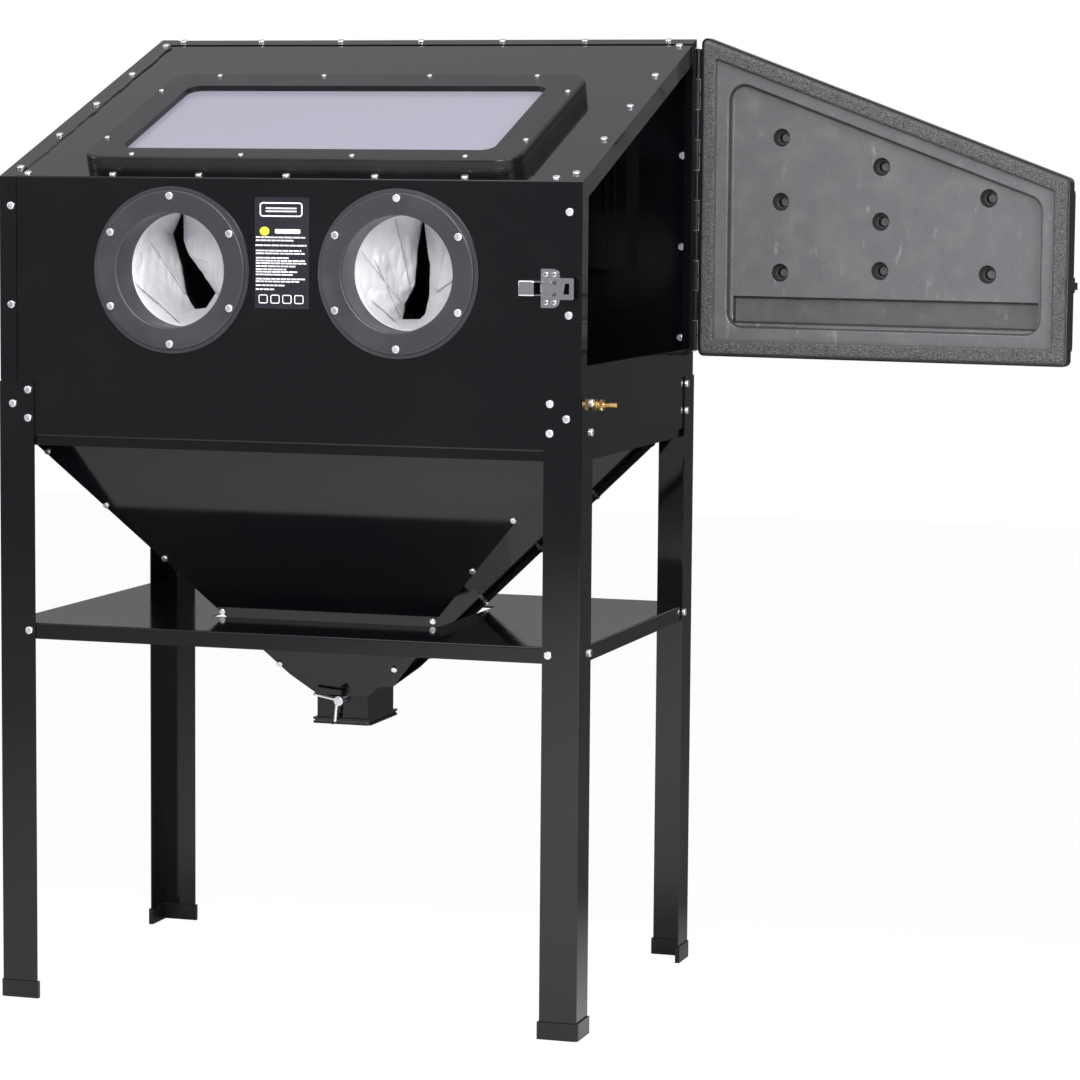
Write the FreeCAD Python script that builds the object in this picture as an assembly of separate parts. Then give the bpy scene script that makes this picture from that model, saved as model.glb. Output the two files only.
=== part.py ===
import FreeCAD, Part
import math
import os

# Floor-standing sandblast cabinet: a folded-sheet body with a sloping window roof, two glove
# ports, a side door, a bolted hopper with a dump door, and four angle legs with a shelf.
# Frame: origin on the floor under the middle of the body, +X to the door side, +Y to the rear,
# +Z up. The operator stands at -Y.

V = FreeCAD.Vector
X, Y, Z = V(1, 0, 0), V(0, 1, 0), V(0, 0, 1)
os.makedirs("parts", exist_ok=True)

# ---------------------------------------------------------------- driving sizes, millimetres
body_width = 880.0          # outside, along X
body_depth = 600.0          # outside, along Y
front_top = 1204.0          # top edge of the front panel above the floor
rear_top = 1420.0           # top edge of the rear panel above the floor
body_bottom = 830.0         # lower edge of the body panels above the floor
sheet = 1.5                 # body, hopper and shelf sheet
bend = 1.5                  # inside radius of a fold
fold = 26.0                 # overlap strips along the body's corners
front_fold = 18.0           # front panel's strip over the roof, clear of the window
return_width = 20.0         # inward folds at the bottom of the panels

leg_side = 55.0             # each side of a leg's angle section
leg_wall = 2.0
leg_top = 909.0
foot_height = 25.0
foot_wall = 2.5
foot_base = 3.0

shelf_top = 557.0
shelf_skirt = 23.5
shelf_gap = 0.5             # shelf skirt to leg, each side
cutout_half_x = 178.0       # opening in the shelf for the hopper
cutout_half_y = 135.0

base_height = 13.0          # band under the body that carries the hopper
base_inset = 3.0            # band set in from the panels
base_wall = 2.0
hopper_half_x = 404.0       # hopper mouth, outside
hopper_half_y = 264.0
outlet_half_x = 40.0        # hopper outlet, outside
outlet_half_y = 57.0
outlet_top = 437.0
outlet_height = 37.0
outlet_wall = 2.0
seam_width = 13.0           # bolted fins on the hopper's four corners
seam_bolt_in = 7.0          # bolts from the corner
seam_bolts = 5
seam_end = 30.0             # fins run out over this height above the outlet
seam_bolt_scale = 0.85      # these bolts are a size smaller

port_x = 171.3              # glove ports, each side of the middle
port_z = 1074.0
port_ring_radius = 119.0
port_radius = 82.0          # clear opening
port_bolt_radius = 105.5
port_bolt_count = 6
port_ring_thickness = 8.0
port_edge_width = 5.5       # thin edge round the ring
port_edge_thickness = 3.5
port_collar_wall = 3.0
port_collar_depth = 46.0    # collar behind the front panel that the glove is clamped on

window_x = 10.5             # window frame's middle, a little towards the door
window_start = 19.0         # up the roof from its front edge
window_width = 661.0
window_length = 379.0
window_bar_front = 40.0     # widths of the frame's bars
window_bar_rear = 58.0
window_bar_side = 48.0
window_corner = 34.0
window_layer = 12.5         # each of the frame's two layers
pane_thickness = 4.0
pane_seat = 12.0            # how far the frame covers the pane

door_frame_side = 28.0      # flange round the side opening
sill_top = 950.0            # lower edge of the side opening
door_bottom = 938.0
door_width = 590.0
door_overlap = 6.0          # door top edge above the roof line
door_thickness = 45.5
door_gap = 0.5              # closed door's seal to the body
door_seal_depth = 9.0
door_seal_width = 21.0
door_rim = 3.0              # shell wall standing proud round the seal
door_rim_depth = 23.0       # seal face to the back of the shell's flange
door_box_inset = 15.0       # raised box on the shell's back, in from its top and bottom
door_box_end_inset = 4.0    # and in from its two ends
door_recess_inset = 45.0    # moulded recess in from the door's edges
trough_radius = 21.0        # rounded trough along the recess's lower edge
trough_depth = 12.0
door_open_angle = 81.5      # how far the door stands open as stored
hinge_x_offset = 1.8        # hinge axis outside the body's side
hinge_radius = 3.5
hinge_pin_radius = 1.5
hinge_leaf = 1.2
hinge_leaf_width = 14.0     # from the axis, clear of the body's bolt heads
hinge_knuckles = 10
hinge_bottom = 946.0
hinge_top = 1406.0
running = 0.05              # radial clearance of pins in their bores
free_gap = 0.4              # clearance between parts that move past each other

latch_x = 398.0             # lever pivot of the toggle latch
latch_z = 1057.5
keeper_x = 420.5            # keeper's hook with the door shut
keeper_reach = -310.8       # how far out the hook stands, just short of the claw
bolt_radius = 3.0           # M6 bolts everywhere on the body
bolt_head_radius = 5.6
bolt_head_height = 3.6
nut_radius = 5.8
nut_height = 4.5
drill = 0.25                # radial clearance of bolt holes

# ---------------------------------------------------------------- derived sizes
hx, hy = body_width / 2, body_depth / 2
roof_rise = rear_top - front_top
roof_angle = math.atan2(roof_rise, body_depth)
roof_length = math.hypot(roof_rise, body_depth)
roof_sheet_z = sheet / math.cos(roof_angle)     # sheet thickness measured straight up
base_bottom = body_bottom - base_height
hopper_top = body_bottom - base_wall
outlet_bottom = outlet_top - outlet_height
hinge_x, hinge_y = hx + hinge_x_offset, hy + hinge_radius


def roof_height(y):
    """Height of the roof panel's top face at depth y."""
    return front_top + (y + hy) * roof_rise / body_depth


# ---------------------------------------------------------------- shape helpers
def block(x, y, z):
    return Part.makeBox(x[1] - x[0], y[1] - y[0], z[1] - z[0], V(x[0], y[0], z[0]))


def plate(points, thickness):
    """Flat outline through the points, extruded along the thickness vector."""
    return Part.Face(Part.makePolygon(points + [points[0]])).extrude(thickness)


def fuse(shapes):
    return shapes[0].multiFuse(shapes[1:]).removeSplitter()


def group(shapes):
    return Part.makeCompound(shapes)


def rounded_slab(x, y, z, radius):
    """Box whose four edges along Z are rounded."""
    slab = block(x, y, z)
    upright = [e for e in slab.Edges if abs(e.tangentAt(e.FirstParameter).z) > 0.99]
    return slab.makeFillet(radius, upright)


def offset_line(points, distance):
    """Polyline at a distance to the left of the given one, with mitred corners."""
    normals = []
    for (a0, b0), (a1, b1) in zip(points, points[1:]):
        length = math.hypot(a1 - a0, b1 - b0)
        normals.append(((b0 - b1) / length, (a1 - a0) / length))
    result = []
    for i, (a, b) in enumerate(points):
        first = normals[max(i - 1, 0)]
        second = normals[min(i, len(normals) - 1)]
        scale = distance / (1 + first[0] * second[0] + first[1] * second[1])
        result.append((a + (first[0] + second[0]) * scale, b + (first[1] + second[1]) * scale))
    return result


def folded(points, thickness, place, along):
    """Sheet folded along the polyline; the other face lies to its left. Bends are rounded."""
    inner = offset_line(points, thickness)
    solid = plate([place(a, b) for a, b in points + inner[::-1]], along)
    for i in range(1, len(points) - 1):
        (a0, b0), (a1, b1), (a2, b2) = points[i - 1:i + 2]
        turns_left = (a1 - a0) * (b2 - b1) - (b1 - b0) * (a2 - a1) > 0
        corners = [(points[i], bend + thickness), (inner[i], bend)]
        if not turns_left:
            corners = [(points[i], bend), (inner[i], bend + thickness)]
        for (a, b), radius in corners:
            start = place(a, b)
            middle = start + along * 0.5
            edge = min(solid.Edges, key=lambda e: e.CenterOfMass.distanceToPoint(middle)
                       + abs(e.Length - along.Length))
            solid = solid.makeFillet(radius, [edge])
    return solid


def on_roof(shape):
    """Move a shape from roof coordinates (x, up the slope, out) into the cabinet frame."""
    placed = shape.copy()
    turn = FreeCAD.Rotation(X, math.degrees(roof_angle))
    placed.Placement = FreeCAD.Placement(V(0, -hy, front_top), turn).multiply(placed.Placement)
    return placed


def roof_plate(x, y, lift):
    """Plate parallel to the roof with vertical ends; lift is its two heights above it."""
    scale = 1 / math.cos(roof_angle)
    corners = [(y[0], lift[0]), (y[1], lift[0]), (y[1], lift[1]), (y[0], lift[1])]
    outline = [V(x[0], a, roof_height(a) + b * scale) for a, b in corners]
    return plate(outline, V(x[1] - x[0], 0, 0))


def bolt(point, out, grip, nut=True, scale=1.0):
    """Domed bolt: head on the face at point, shank inwards through grip, hex nut behind."""
    height = bolt_head_height * scale
    head = Part.makeCylinder(bolt_head_radius * scale, height, point, out)
    rim = [e for e in head.Edges if (e.CenterOfMass - point).dot(out) > height * 0.9]
    head = head.makeFillet(height * 0.45, rim)
    tail = (nut_height + 2) * scale if nut else 2
    pieces = [head, Part.makeCylinder(bolt_radius * scale, grip + tail, point, out * -1)]
    if nut:
        start = point - out * grip
        across = V(out.y, out.z, out.x).cross(out).normalize() * nut_radius * scale
        corners = [start + FreeCAD.Rotation(out, 60 * i).multVec(across) for i in range(6)]
        pieces.append(plate(corners, out * -nut_height * scale))
    return fuse(pieces)


def drilled(shape, spots):
    """Shape with a bolt hole through it at each (point, direction)."""
    tools = []
    for point, out in spots:
        start = point + out * 10
        tools.append(Part.makeCylinder(bolt_radius + drill, 30, start, out * -1))
    return shape.cut(group(tools)) if tools else shape


nodes = {}


# ---------------------------------------------------------------- bolt places
def body_bolt_places():
    """Bolts of the front and rear corners: (point on the outer face, outward direction)."""
    column = hx - 18.4
    places = []
    for x in (-column, column):
        y = -hy - sheet if x < 0 else -hy
        places += [(V(x, y, z), -Y) for z in (1163.0, 1020.5)]
        places += [(V(x, hy, z), Y) for z in (966.0, 1105.0, 1244.0, 1383.0)]
    return places


def roof_bolt_places():
    """Bolts along the roof's four edges, in roof coordinates (x, up the slope)."""
    spacing = (roof_length - 34.0 - fold - bolt_head_radius - 2.0) / 4
    places = []
    for i in range(7):
        x = -399.0 + i * 133.0
        places += [(x, front_fold - 8.0), (x, roof_length - 13.0)]
    for i in range(5):
        places += [(-hx + 19.0, 34.0 + i * spacing), (hx - 19.0, 34.0 + i * spacing)]
    return places


def leg_bolt_places():
    """Bolts through one leg, for the leg at +X -Y: (along X in from the corner, height)."""
    front = [(49.5 - 5.5, 897.5), (49.5 - 5.5, 856.5), (20.0, 877.0)]
    side = [(44.0, 897.5), (44.0, 856.5)]
    shelf = 546.0
    return front, side, shelf


def ring_places(x):
    """Bolt points round one glove port."""
    places = []
    for i in range(port_bolt_count):
        angle = math.radians(90 + i * 360 / port_bolt_count)
        places.append(V(x + port_bolt_radius * math.cos(angle), -hy,
                        port_z + port_bolt_radius * math.sin(angle)))
    return places


def leg_face_places(sx, sy):
    """Bolt points on one leg's front or rear face and on its side face."""
    front, side, shelf = leg_bolt_places()
    face_y, face_x = sy * (hy + leg_wall), sx * (hx + leg_wall)
    across = [(V(sx * (hx - a), face_y, z), Y * sy) for a, z in front]
    across.append((V(sx * (hx - 44.0), face_y, shelf), Y * sy))
    along = [(V(face_x, sy * (hy - a), z), X * sx) for a, z in side]
    along.append((V(face_x, sy * (hy - 44.0), shelf), X * sx))
    return across + along


all_leg_places = []
for sx in (-1, 1):
    for sy in (-1, 1):
        all_leg_places += leg_face_places(sx, sy)


# ---------------------------------------------------------------- body panels
def front_panel():
    lift = roof_sheet_z
    profile = [(-hy + return_width, body_bottom), (-hy, body_bottom), (-hy, front_top + lift),
               (-hy + front_fold * math.cos(roof_angle),
                front_top + lift + front_fold * math.sin(roof_angle))]
    left, right = -hx + sheet, hx
    panel = folded(profile[::-1], sheet, lambda a, b: V(left, a, b), X * (right - left))
    strip = block((-hx, -hx + fold), (-hy + sheet + 0.01, 0), (body_bottom + 30, rear_top))
    panel = panel.cut(strip)
    for x in (-port_x, port_x):
        hole = Part.makeCylinder(port_radius + port_collar_wall + drill, 10,
                                 V(x, -hy - 5, port_z), Y)
        panel = panel.cut(hole)
        panel = drilled(panel, [(p, -Y) for p in ring_places(x)])
    panel = drilled(panel, [p for p in body_bolt_places() if p[1].y < 0])
    panel = drilled(panel, all_leg_places)
    return panel.cut(roof_holes)


def rear_panel():
    lift = roof_sheet_z
    profile = [(hy - return_width, body_bottom), (hy, body_bottom), (hy, rear_top + lift),
               (hy - fold * math.cos(roof_angle),
                rear_top + lift - fold * math.sin(roof_angle))]
    panel = folded(profile, sheet, lambda a, b: V(-hx, a, b), X * body_width)
    strip = block((-hx - 1, -hx + fold), (0, hy - sheet - 0.01), (body_bottom + 30, rear_top + 20))
    panel = panel.cut(strip)
    hole = Part.makeCylinder(exhaust_radius - 2, 10, V(exhaust_x, hy - 5, exhaust_z), Y)
    panel = panel.cut(hole)
    panel = drilled(panel, [p for p in body_bolt_places() if p[1].y > 0])
    panel = drilled(panel, all_leg_places)
    return panel.cut(roof_holes)


def left_side_panel():
    """Left side: its folds lie over the front panel and over the roof."""
    front, rear = -hy, hy - sheet
    outline = [V(-hx, front, body_bottom), V(-hx, rear, body_bottom),
               V(-hx, rear, roof_height(rear) + roof_sheet_z),
               V(-hx, front, roof_height(front) + roof_sheet_z)]
    side = plate(outline, X * sheet)
    over_front = block((-hx, -hx + fold), (front - sheet, front),
                       (leg_top + 2, roof_height(front - sheet) + roof_sheet_z))
    over_roof = roof_plate((-hx, -hx + fold), (front - sheet, rear), (0, sheet))
    behind = block((-hx, -hx + fold), (rear - sheet, rear), (body_bottom, roof_height(rear) - 4))
    bottom = block((-hx, -hx + return_width), (-hy + return_width + 2, rear - return_width - 2),
                   (body_bottom, body_bottom + sheet))
    panel = fuse([side, over_front, over_roof, behind, bottom])
    panel = drilled(panel, [p for p in body_bolt_places() if p[0].x < 0])
    panel = drilled(panel, all_leg_places)
    return panel.cut(roof_holes)


def opening_outline(x, grow):
    """Outline of the side door opening in the plane at x, grown outwards."""
    front, rear = -hy + door_frame_side - grow, hy - 22.0 + grow
    drop = door_frame_side / math.cos(roof_angle) - grow / math.cos(roof_angle)
    return [V(x, front, sill_top - grow), V(x, rear, sill_top - grow),
            V(x, rear, roof_height(rear) - drop), V(x, front, roof_height(front) - drop)]


def right_side_panel():
    """Right side with the door opening; its folds lie under the front panel and the roof."""
    front, rear = -hy + sheet, hy - sheet
    top = -roof_sheet_z
    outline = [V(hx - sheet, front, body_bottom), V(hx - sheet, rear, body_bottom),
               V(hx - sheet, rear, roof_height(rear) + top),
               V(hx - sheet, front, roof_height(front) + top)]
    side = plate(outline, X * sheet)
    folds = []
    for y, z in ((front, roof_height(front) + top), (rear - sheet, roof_height(rear - sheet) + top)):
        folds.append(block((hx - fold, hx), (y, y + sheet), (body_bottom, z - 0.5)))
    folds.append(roof_plate((hx - fold, hx), (front, rear), (-2 * sheet, -sheet)))
    folds.append(block((hx - return_width, hx), (front + return_width, rear - return_width),
                       (body_bottom, body_bottom + sheet)))
    lining_depth = 12.0
    lining = plate(opening_outline(hx - lining_depth, sheet), X * lining_depth)
    opening = plate(opening_outline(hx - lining_depth - 5, 0), X * (lining_depth + 10))
    panel = fuse([side, lining] + folds).cut(opening)
    panel = drilled(panel, [p for p in body_bolt_places() if p[0].x > 0])
    panel = drilled(panel, all_leg_places)
    panel = panel.cut(Part.makeCylinder(inlet_thread + drill, 20, inlet_point - X * 10, X))
    return panel.cut(roof_holes)


def fitted(panel):
    """Panel relieved where the front and rear panels' folds run, without loose slivers."""
    for end in ("front_panel", "rear_panel"):
        panel = panel.cut(nodes[end])
    return max(panel.Solids, key=lambda solid: solid.Volume)


def roof_panel():
    roof = roof_plate((-hx + sheet, hx), (-hy + sheet, hy - sheet), (-sheet, 0))
    roof = roof.cut(on_roof(window_opening((-20, 20))))
    return roof.cut(on_roof(window_drills((-5, 5)))).cut(roof_holes)


# ---------------------------------------------------------------- window
window_end = window_start + window_length
window_sides = (window_x - window_width / 2, window_x + window_width / 2)


def window_opening(out, margin=0.0, corner=20.0):
    """The window's clear opening, or larger by a margin, in roof coordinates."""
    side = window_bar_side - margin
    return rounded_slab((window_sides[0] + side, window_sides[1] - side),
                        (window_start + window_bar_front - margin,
                         window_end - window_bar_rear + margin), out, corner + margin)


def window_bolt_places():
    inset = 11.0
    x0, x1 = window_sides[0] + inset, window_sides[1] - inset
    s0, s1 = window_start + inset, window_end - inset - 2.0
    places = []
    for i in range(4):
        x = window_x - 252.0 + i * 168.0
        places += [(x, s0), (x, s1)]
    for s in (s0 + 71.0, s1 - 71.0):
        places += [(x0, s), (x1, s)]
    return places


def window_layer_slab(out):
    return rounded_slab(window_sides, (window_start, window_end), out, window_corner)


def window_drills(out):
    tools = []
    for x, s in window_bolt_places():
        tools.append(Part.makeCylinder(2.0 + drill, out[1] - out[0] + 4, V(x, s, out[0] - 2)))
    return group(tools)


def window_base_frame():
    out = (0.0, window_layer)
    slab = window_layer_slab(out)
    rim = [e for e in slab.Edges if e.CenterOfMass.z > window_layer - 0.1]
    slab = slab.makeFillet(1.0, rim)
    return on_roof(slab.cut(window_opening((-5, 20))).cut(window_drills(out)))


def window_top_frame():
    out = (window_layer, 2 * window_layer)
    slab = window_layer_slab(out)
    rim = [e for e in slab.Edges if e.CenterOfMass.z > out[1] - 0.1]
    slab = slab.makeFillet(4.0, rim)
    seat = window_opening((out[0] - 5, out[0] + pane_thickness), pane_seat + 0.3)
    return on_roof(slab.cut(window_opening((0, 40))).cut(seat).cut(window_drills(out)))


def window_pane():
    out = (window_layer, window_layer + pane_thickness)
    return on_roof(window_opening(out, pane_seat))


def window_screws():
    screws = []
    top = 2 * window_layer
    for x, s in window_bolt_places():
        head = Part.makeCylinder(3.9, 2.4, V(x, s, top))
        crown = [e for e in head.Edges if e.CenterOfMass.z > top + 2.3]
        head = head.makeFillet(1.2, crown)
        screws.append(on_roof(head.fuse(Part.makeCylinder(2.0, top + 6, V(x, s, -6)))))
    return group(screws)


# ---------------------------------------------------------------- glove ports
def port_ring(x):
    """Moulded ring on the front panel with a collar through it for the glove."""
    face = -hy - port_ring_thickness
    edge = Part.makeCylinder(port_ring_radius, port_edge_thickness,
                             V(x, -hy - port_edge_thickness, port_z), Y)
    ring = Part.makeCylinder(port_ring_radius - port_edge_width, port_ring_thickness,
                             V(x, face, port_z), Y)
    collar = Part.makeCylinder(port_radius + port_collar_wall, port_ring_thickness
                               + port_collar_depth, V(x, face, port_z), Y)
    ring = fuse([edge, ring, collar])
    rim = [e for e in ring.Edges if e.CenterOfMass.y < face + 0.1]
    ring = ring.makeFillet(2.5, rim)
    bore = Part.makeCylinder(port_radius, 100, V(x, face - 5, port_z), Y)
    ring = ring.cut(bore)
    mouth = [e for e in ring.Edges if e.CenterOfMass.y < face + 0.1
             and e.BoundBox.XLength < 2 * port_radius + 1]
    ring = ring.makeFillet(3.0, mouth)
    return drilled(ring, [(p - Y * port_ring_thickness, -Y) for p in ring_places(x)])


def port_bolts():
    bolts = []
    for x in (-port_x, port_x):
        for p in ring_places(x):
            bolts.append(bolt(p - Y * port_ring_thickness, -Y, port_ring_thickness + sheet))
    return group(bolts)


glove_wall = 2.0
glove_cuff = port_radius + port_collar_wall + 0.3    # inside radius of the cuff on its collar
clamp_start = -hy + sheet + 20.0


def glove_loft(x, inset):
    """Sleeve and hand hanging in from the port; inset is the wall for the hollow inside."""
    start = -hy + sheet + 6.0
    cuff = glove_cuff + glove_wall
    sections = [(start, 0.0, cuff, 0.0), (start + port_collar_depth - 4.0, 0.0, cuff, 0.0),
                (-190.0, -22.0, 72.0, 16.0), (-110.0, -55.0, 58.0, 26.0),
                (-40.0, -92.0, 48.0, 28.0), (10.0, -116.0, 50.0, 26.0),
                (45.0, -132.0, 34.0, 24.0)]
    rings = []
    for y, drop, radius, tilt in sections:
        out = FreeCAD.Rotation(X, -tilt).multVec(Y)
        centre = V(x, y, port_z + drop)
        if inset and y == start:
            centre = centre - Y
        if inset and radius < 40:
            centre = centre - out * inset * 2
        rings.append(Part.Wire(Part.makeCircle(radius - inset, centre, out)))
    return Part.makeLoft(rings, True, True)


def glove(x):
    return glove_loft(x, 0.0).cut(glove_loft(x, glove_wall))


def glove_clamps():
    """Steel bands that hold both cuffs on their collars."""
    bands = []
    inner = glove_cuff + glove_wall + 0.2
    for x in (-port_x, port_x):
        place = V(x, clamp_start, port_z)
        band = Part.makeCylinder(inner + 1.0, 9, place, Y).cut(
            Part.makeCylinder(inner, 9, place, Y))
        screw = block((x - 9, x + 9), (clamp_start, clamp_start + 9),
                      (port_z + inner + 0.5, port_z + inner + 8))
        bands.append(band.fuse(screw))
    return group(bands)


# ---------------------------------------------------------------- hopper
def base_frame():
    """Band under the panels; its top flange carries the hopper's mouth."""
    ox, oy = hx - base_inset, hy - base_inset
    ring = block((-ox, ox), (-oy, oy), (base_bottom, body_bottom))
    inner = block((-ox + base_wall, ox - base_wall), (-oy + base_wall, oy - base_wall),
                  (base_bottom - 1, body_bottom - base_wall))
    mouth = block((-hopper_half_x - 1, hopper_half_x + 1), (-hopper_half_y - 1, hopper_half_y + 1),
                  (base_bottom - 1, body_bottom + 1))
    return ring.cut(inner).cut(mouth)


def hopper_normal(sy):
    """Unit vector into the hopper from its front (sy = -1) or rear plate."""
    run = hopper_half_y - outlet_half_y
    return V(0, -sy * (hopper_top - outlet_top), run).normalize()


def seam_outline(sx, sy, step):
    """Outline of one corner fin of the hopper, moved by step."""
    high = V(sx * hopper_half_x, sy * hopper_half_y, hopper_top) + step
    low = V(sx * outlet_half_x, sy * outlet_half_y, outlet_top) + step
    end = low + (high - low) * (seam_end / (hopper_top - outlet_top))
    return [high, high + X * sx * seam_width, end + X * sx * (seam_width - 3), low]


def hopper_end(sy):
    """Front or rear plate, running past the sides as bolted fins, with its mouth flange."""
    inward = hopper_normal(sy) * sheet
    corners = [V(-hopper_half_x, sy * hopper_half_y, hopper_top),
               V(hopper_half_x, sy * hopper_half_y, hopper_top),
               V(outlet_half_x, sy * outlet_half_y, outlet_top),
               V(-outlet_half_x, sy * outlet_half_y, outlet_top)]
    wall = plate(corners, inward)
    for sx in (-1, 1):
        wall = wall.fuse(plate(seam_outline(sx, sy, V()), inward))
    reach = hy - base_inset - base_wall - 1.0
    ends = sorted((sy * (hopper_half_y - 4), sy * reach))
    flange = block((-hopper_half_x, hopper_half_x), ends, (hopper_top - sheet, hopper_top))
    wall = wall.fuse(flange).removeSplitter()
    limit = block((-hx, hx), (-hy, hy), (outlet_top, hopper_top))
    return drilled(wall.common(limit), hopper_bolt_places(sy))


def hopper_bolt_places(sy):
    """Bolts along the two corner seams of the front or rear plate."""
    out = hopper_normal(sy) * -1
    places = []
    for sx in (-1, 1):
        high = V(sx * hopper_half_x, sy * hopper_half_y, hopper_top)
        low = V(sx * outlet_half_x, sy * outlet_half_y, outlet_top)
        for i in range(seam_bolts):
            share = 0.06 + i * 0.82 / (seam_bolts - 1)
            places.append((high + (low - high) * share + X * sx * seam_bolt_in, out))
    return places


def hopper_side(sx):
    """Side plate between the ends, with fins bent to lie behind theirs."""
    slope = V(-sx * (hopper_top - outlet_top), 0, hopper_half_x - outlet_half_x).normalize()
    corners = [V(sx * hopper_half_x, -hopper_half_y, hopper_top),
               V(sx * hopper_half_x, hopper_half_y, hopper_top),
               V(sx * outlet_half_x, outlet_half_y, outlet_top),
               V(sx * outlet_half_x, -outlet_half_y, outlet_top)]
    wall = plate(corners, slope * sheet)
    reach = hx - base_inset - base_wall - 1.0
    ends = sorted((sx * (hopper_half_x - 4), sx * reach))
    flange = block(ends, (-hopper_half_y + 6, hopper_half_y - 6), (hopper_top - sheet, hopper_top))
    pieces = [wall, flange]
    for sy in (-1, 1):
        step = hopper_normal(sy) * sheet
        pieces.append(plate(seam_outline(sx, sy, step), step))
    side = fuse(pieces)
    limit = block((-hx, hx), (-hy, hy), (outlet_top, hopper_top))
    side = side.common(limit)
    for sy in (-1, 1):
        side = side.cut(hopper_end(sy))
        side = drilled(side, hopper_bolt_places(sy))
    return side


def hopper_bolts():
    bolts = []
    for sy in (-1, 1):
        for point, out in hopper_bolt_places(sy):
            bolts.append(bolt(point, out, 2 * sheet, False, seam_bolt_scale))
    return group(bolts)


# ---------------------------------------------------------------- outlet and dump door
dump_edge = 5.0             # outlet flange and dump door stand out past the outlet
dump_plate = 3.0
dump_seal = 3.0
dump_hinge_y = outlet_half_y + dump_edge + 6.0
dump_hinge_z = outlet_bottom - dump_seal
dump_pin_radius = 2.0
dump_knuckle = 4.5
lever_plane = -outlet_half_y - 13.0
lever_pivot_z = outlet_top - 6.5
lever_rod = 2.5
toe_z = lever_pivot_z - 30.0        # the lever's foot, under the dump door's lip


def outlet_box():
    ox, oy = outlet_half_x, outlet_half_y
    box = block((-ox, ox), (-oy, oy), (outlet_bottom, outlet_top))
    flange = block((-ox - dump_edge, ox + dump_edge), (-oy - dump_edge, oy + dump_edge),
                   (outlet_bottom, outlet_bottom + 3))
    bore = block((-ox + outlet_wall, ox - outlet_wall), (-oy + outlet_wall, oy - outlet_wall),
                 (outlet_bottom - 1, outlet_top + 1))
    pieces = [box, flange]
    for x in (-34, 20):
        place = V(x, dump_hinge_y, dump_hinge_z)
        pieces.append(Part.makeCylinder(dump_knuckle, 14, place, X))
        pieces.append(block((x, x + 14), (oy + dump_edge - 1, dump_hinge_y),
                            (outlet_bottom, outlet_bottom + 1.5)))
    body = fuse(pieces).cut(bore)
    pin = Part.makeCylinder(dump_pin_radius + running, 90, V(-45, dump_hinge_y, dump_hinge_z), X)
    pivot = Part.makeCylinder(3.0 + running, 10, V(0, -oy - 4, lever_pivot_z), Y)
    return body.cut(pin).cut(pivot)


def dump_hinge_pin():
    return Part.makeCylinder(dump_pin_radius, 74, V(-37, dump_hinge_y, dump_hinge_z), X)


def dump_door():
    ox, oy = outlet_half_x + dump_edge + 1, outlet_half_y + dump_edge + 1
    top = outlet_bottom - dump_seal
    leaf = rounded_slab((-ox, ox), (-oy, oy), (top - dump_plate, top), 6)
    knuckle = Part.makeCylinder(dump_knuckle, 36, V(-18, dump_hinge_y, dump_hinge_z), X)
    arm = block((-18, 18), (oy - 8, dump_hinge_y), (top - dump_plate, top - 1))
    hook_y = (lever_plane + lever_rod + 0.6, -oy + 0.4)
    stem = block((-14, -11.5), hook_y, (top - dump_plate, toe_z + 7.5))
    lip = block((-14, -2), hook_y, (toe_z + lever_rod + 2, toe_z + 7.5))
    pin = Part.makeCylinder(dump_pin_radius + running, 90, V(-45, dump_hinge_y, dump_hinge_z), X)
    door = fuse([leaf, knuckle, arm, stem, lip]).cut(pin)
    clear = Part.makeCylinder(dump_knuckle + free_gap, 15, V(-34.5, dump_hinge_y, dump_hinge_z), X)
    clear_right = Part.makeCylinder(dump_knuckle + free_gap, 15,
                                    V(19.5, dump_hinge_y, dump_hinge_z), X)
    return door.cut(clear).cut(clear_right)


def dump_seal_ring():
    ox, oy = outlet_half_x + 3, outlet_half_y + 3
    z = (outlet_bottom - dump_seal, outlet_bottom - 0.3)
    ring = block((-ox, ox), (-oy, oy), z)
    return ring.cut(block((-ox + 7, ox - 7), (-oy + 7, oy - 7), (z[0] - 1, z[1] + 1)))


def dump_lever_pivot():
    """Shouldered bolt in the outlet's front wall with a washer on its end."""
    start = V(0, -outlet_half_y + outlet_wall + 3, lever_pivot_z)
    shank = Part.makeCylinder(3.0, start.y - lever_plane + 5.5, start, -Y)
    spacer = Part.makeCylinder(5.5, -outlet_half_y - lever_plane - 3.2,
                               V(0, -outlet_half_y, lever_pivot_z), -Y)
    nut = Part.makeCylinder(5.0, 3, start - Y * 3 + Y * 3, -Y)
    washer = Part.makeCylinder(7.0, 1.6, V(0, lever_plane - 3.4, lever_pivot_z), -Y)
    cap = Part.makeCylinder(4.6, 3.0, V(0, lever_plane - 5.0, lever_pivot_z), -Y)
    return fuse([shank, spacer, nut, washer, cap])


def dump_lever():
    """Bent rod: handle to the left, toe with a short foot under the dump door's lip."""
    hub = V(0, lever_plane, lever_pivot_z)
    elbow = hub + V(-3, 0, 1)
    handle = hub + V(-39, 0, 8)
    toe = V(-7, lever_plane, toe_z)
    foot = V(-7, -outlet_half_y - 8.5, toe_z)
    pieces = [Part.makeCylinder(6.2, 6.0, hub - Y * 3.0, Y), Part.makeSphere(lever_rod, toe)]
    for a, b in ((elbow, handle), (hub + V(-4, 0, 0), toe), (toe, foot)):
        way = b - a
        pieces.append(Part.makeCylinder(lever_rod, way.Length, a, way))
        pieces.append(Part.makeSphere(lever_rod, b))
    bore = Part.makeCylinder(3.0 + running, 20, hub - Y * 10, Y)
    return fuse(pieces).cut(bore)


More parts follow.
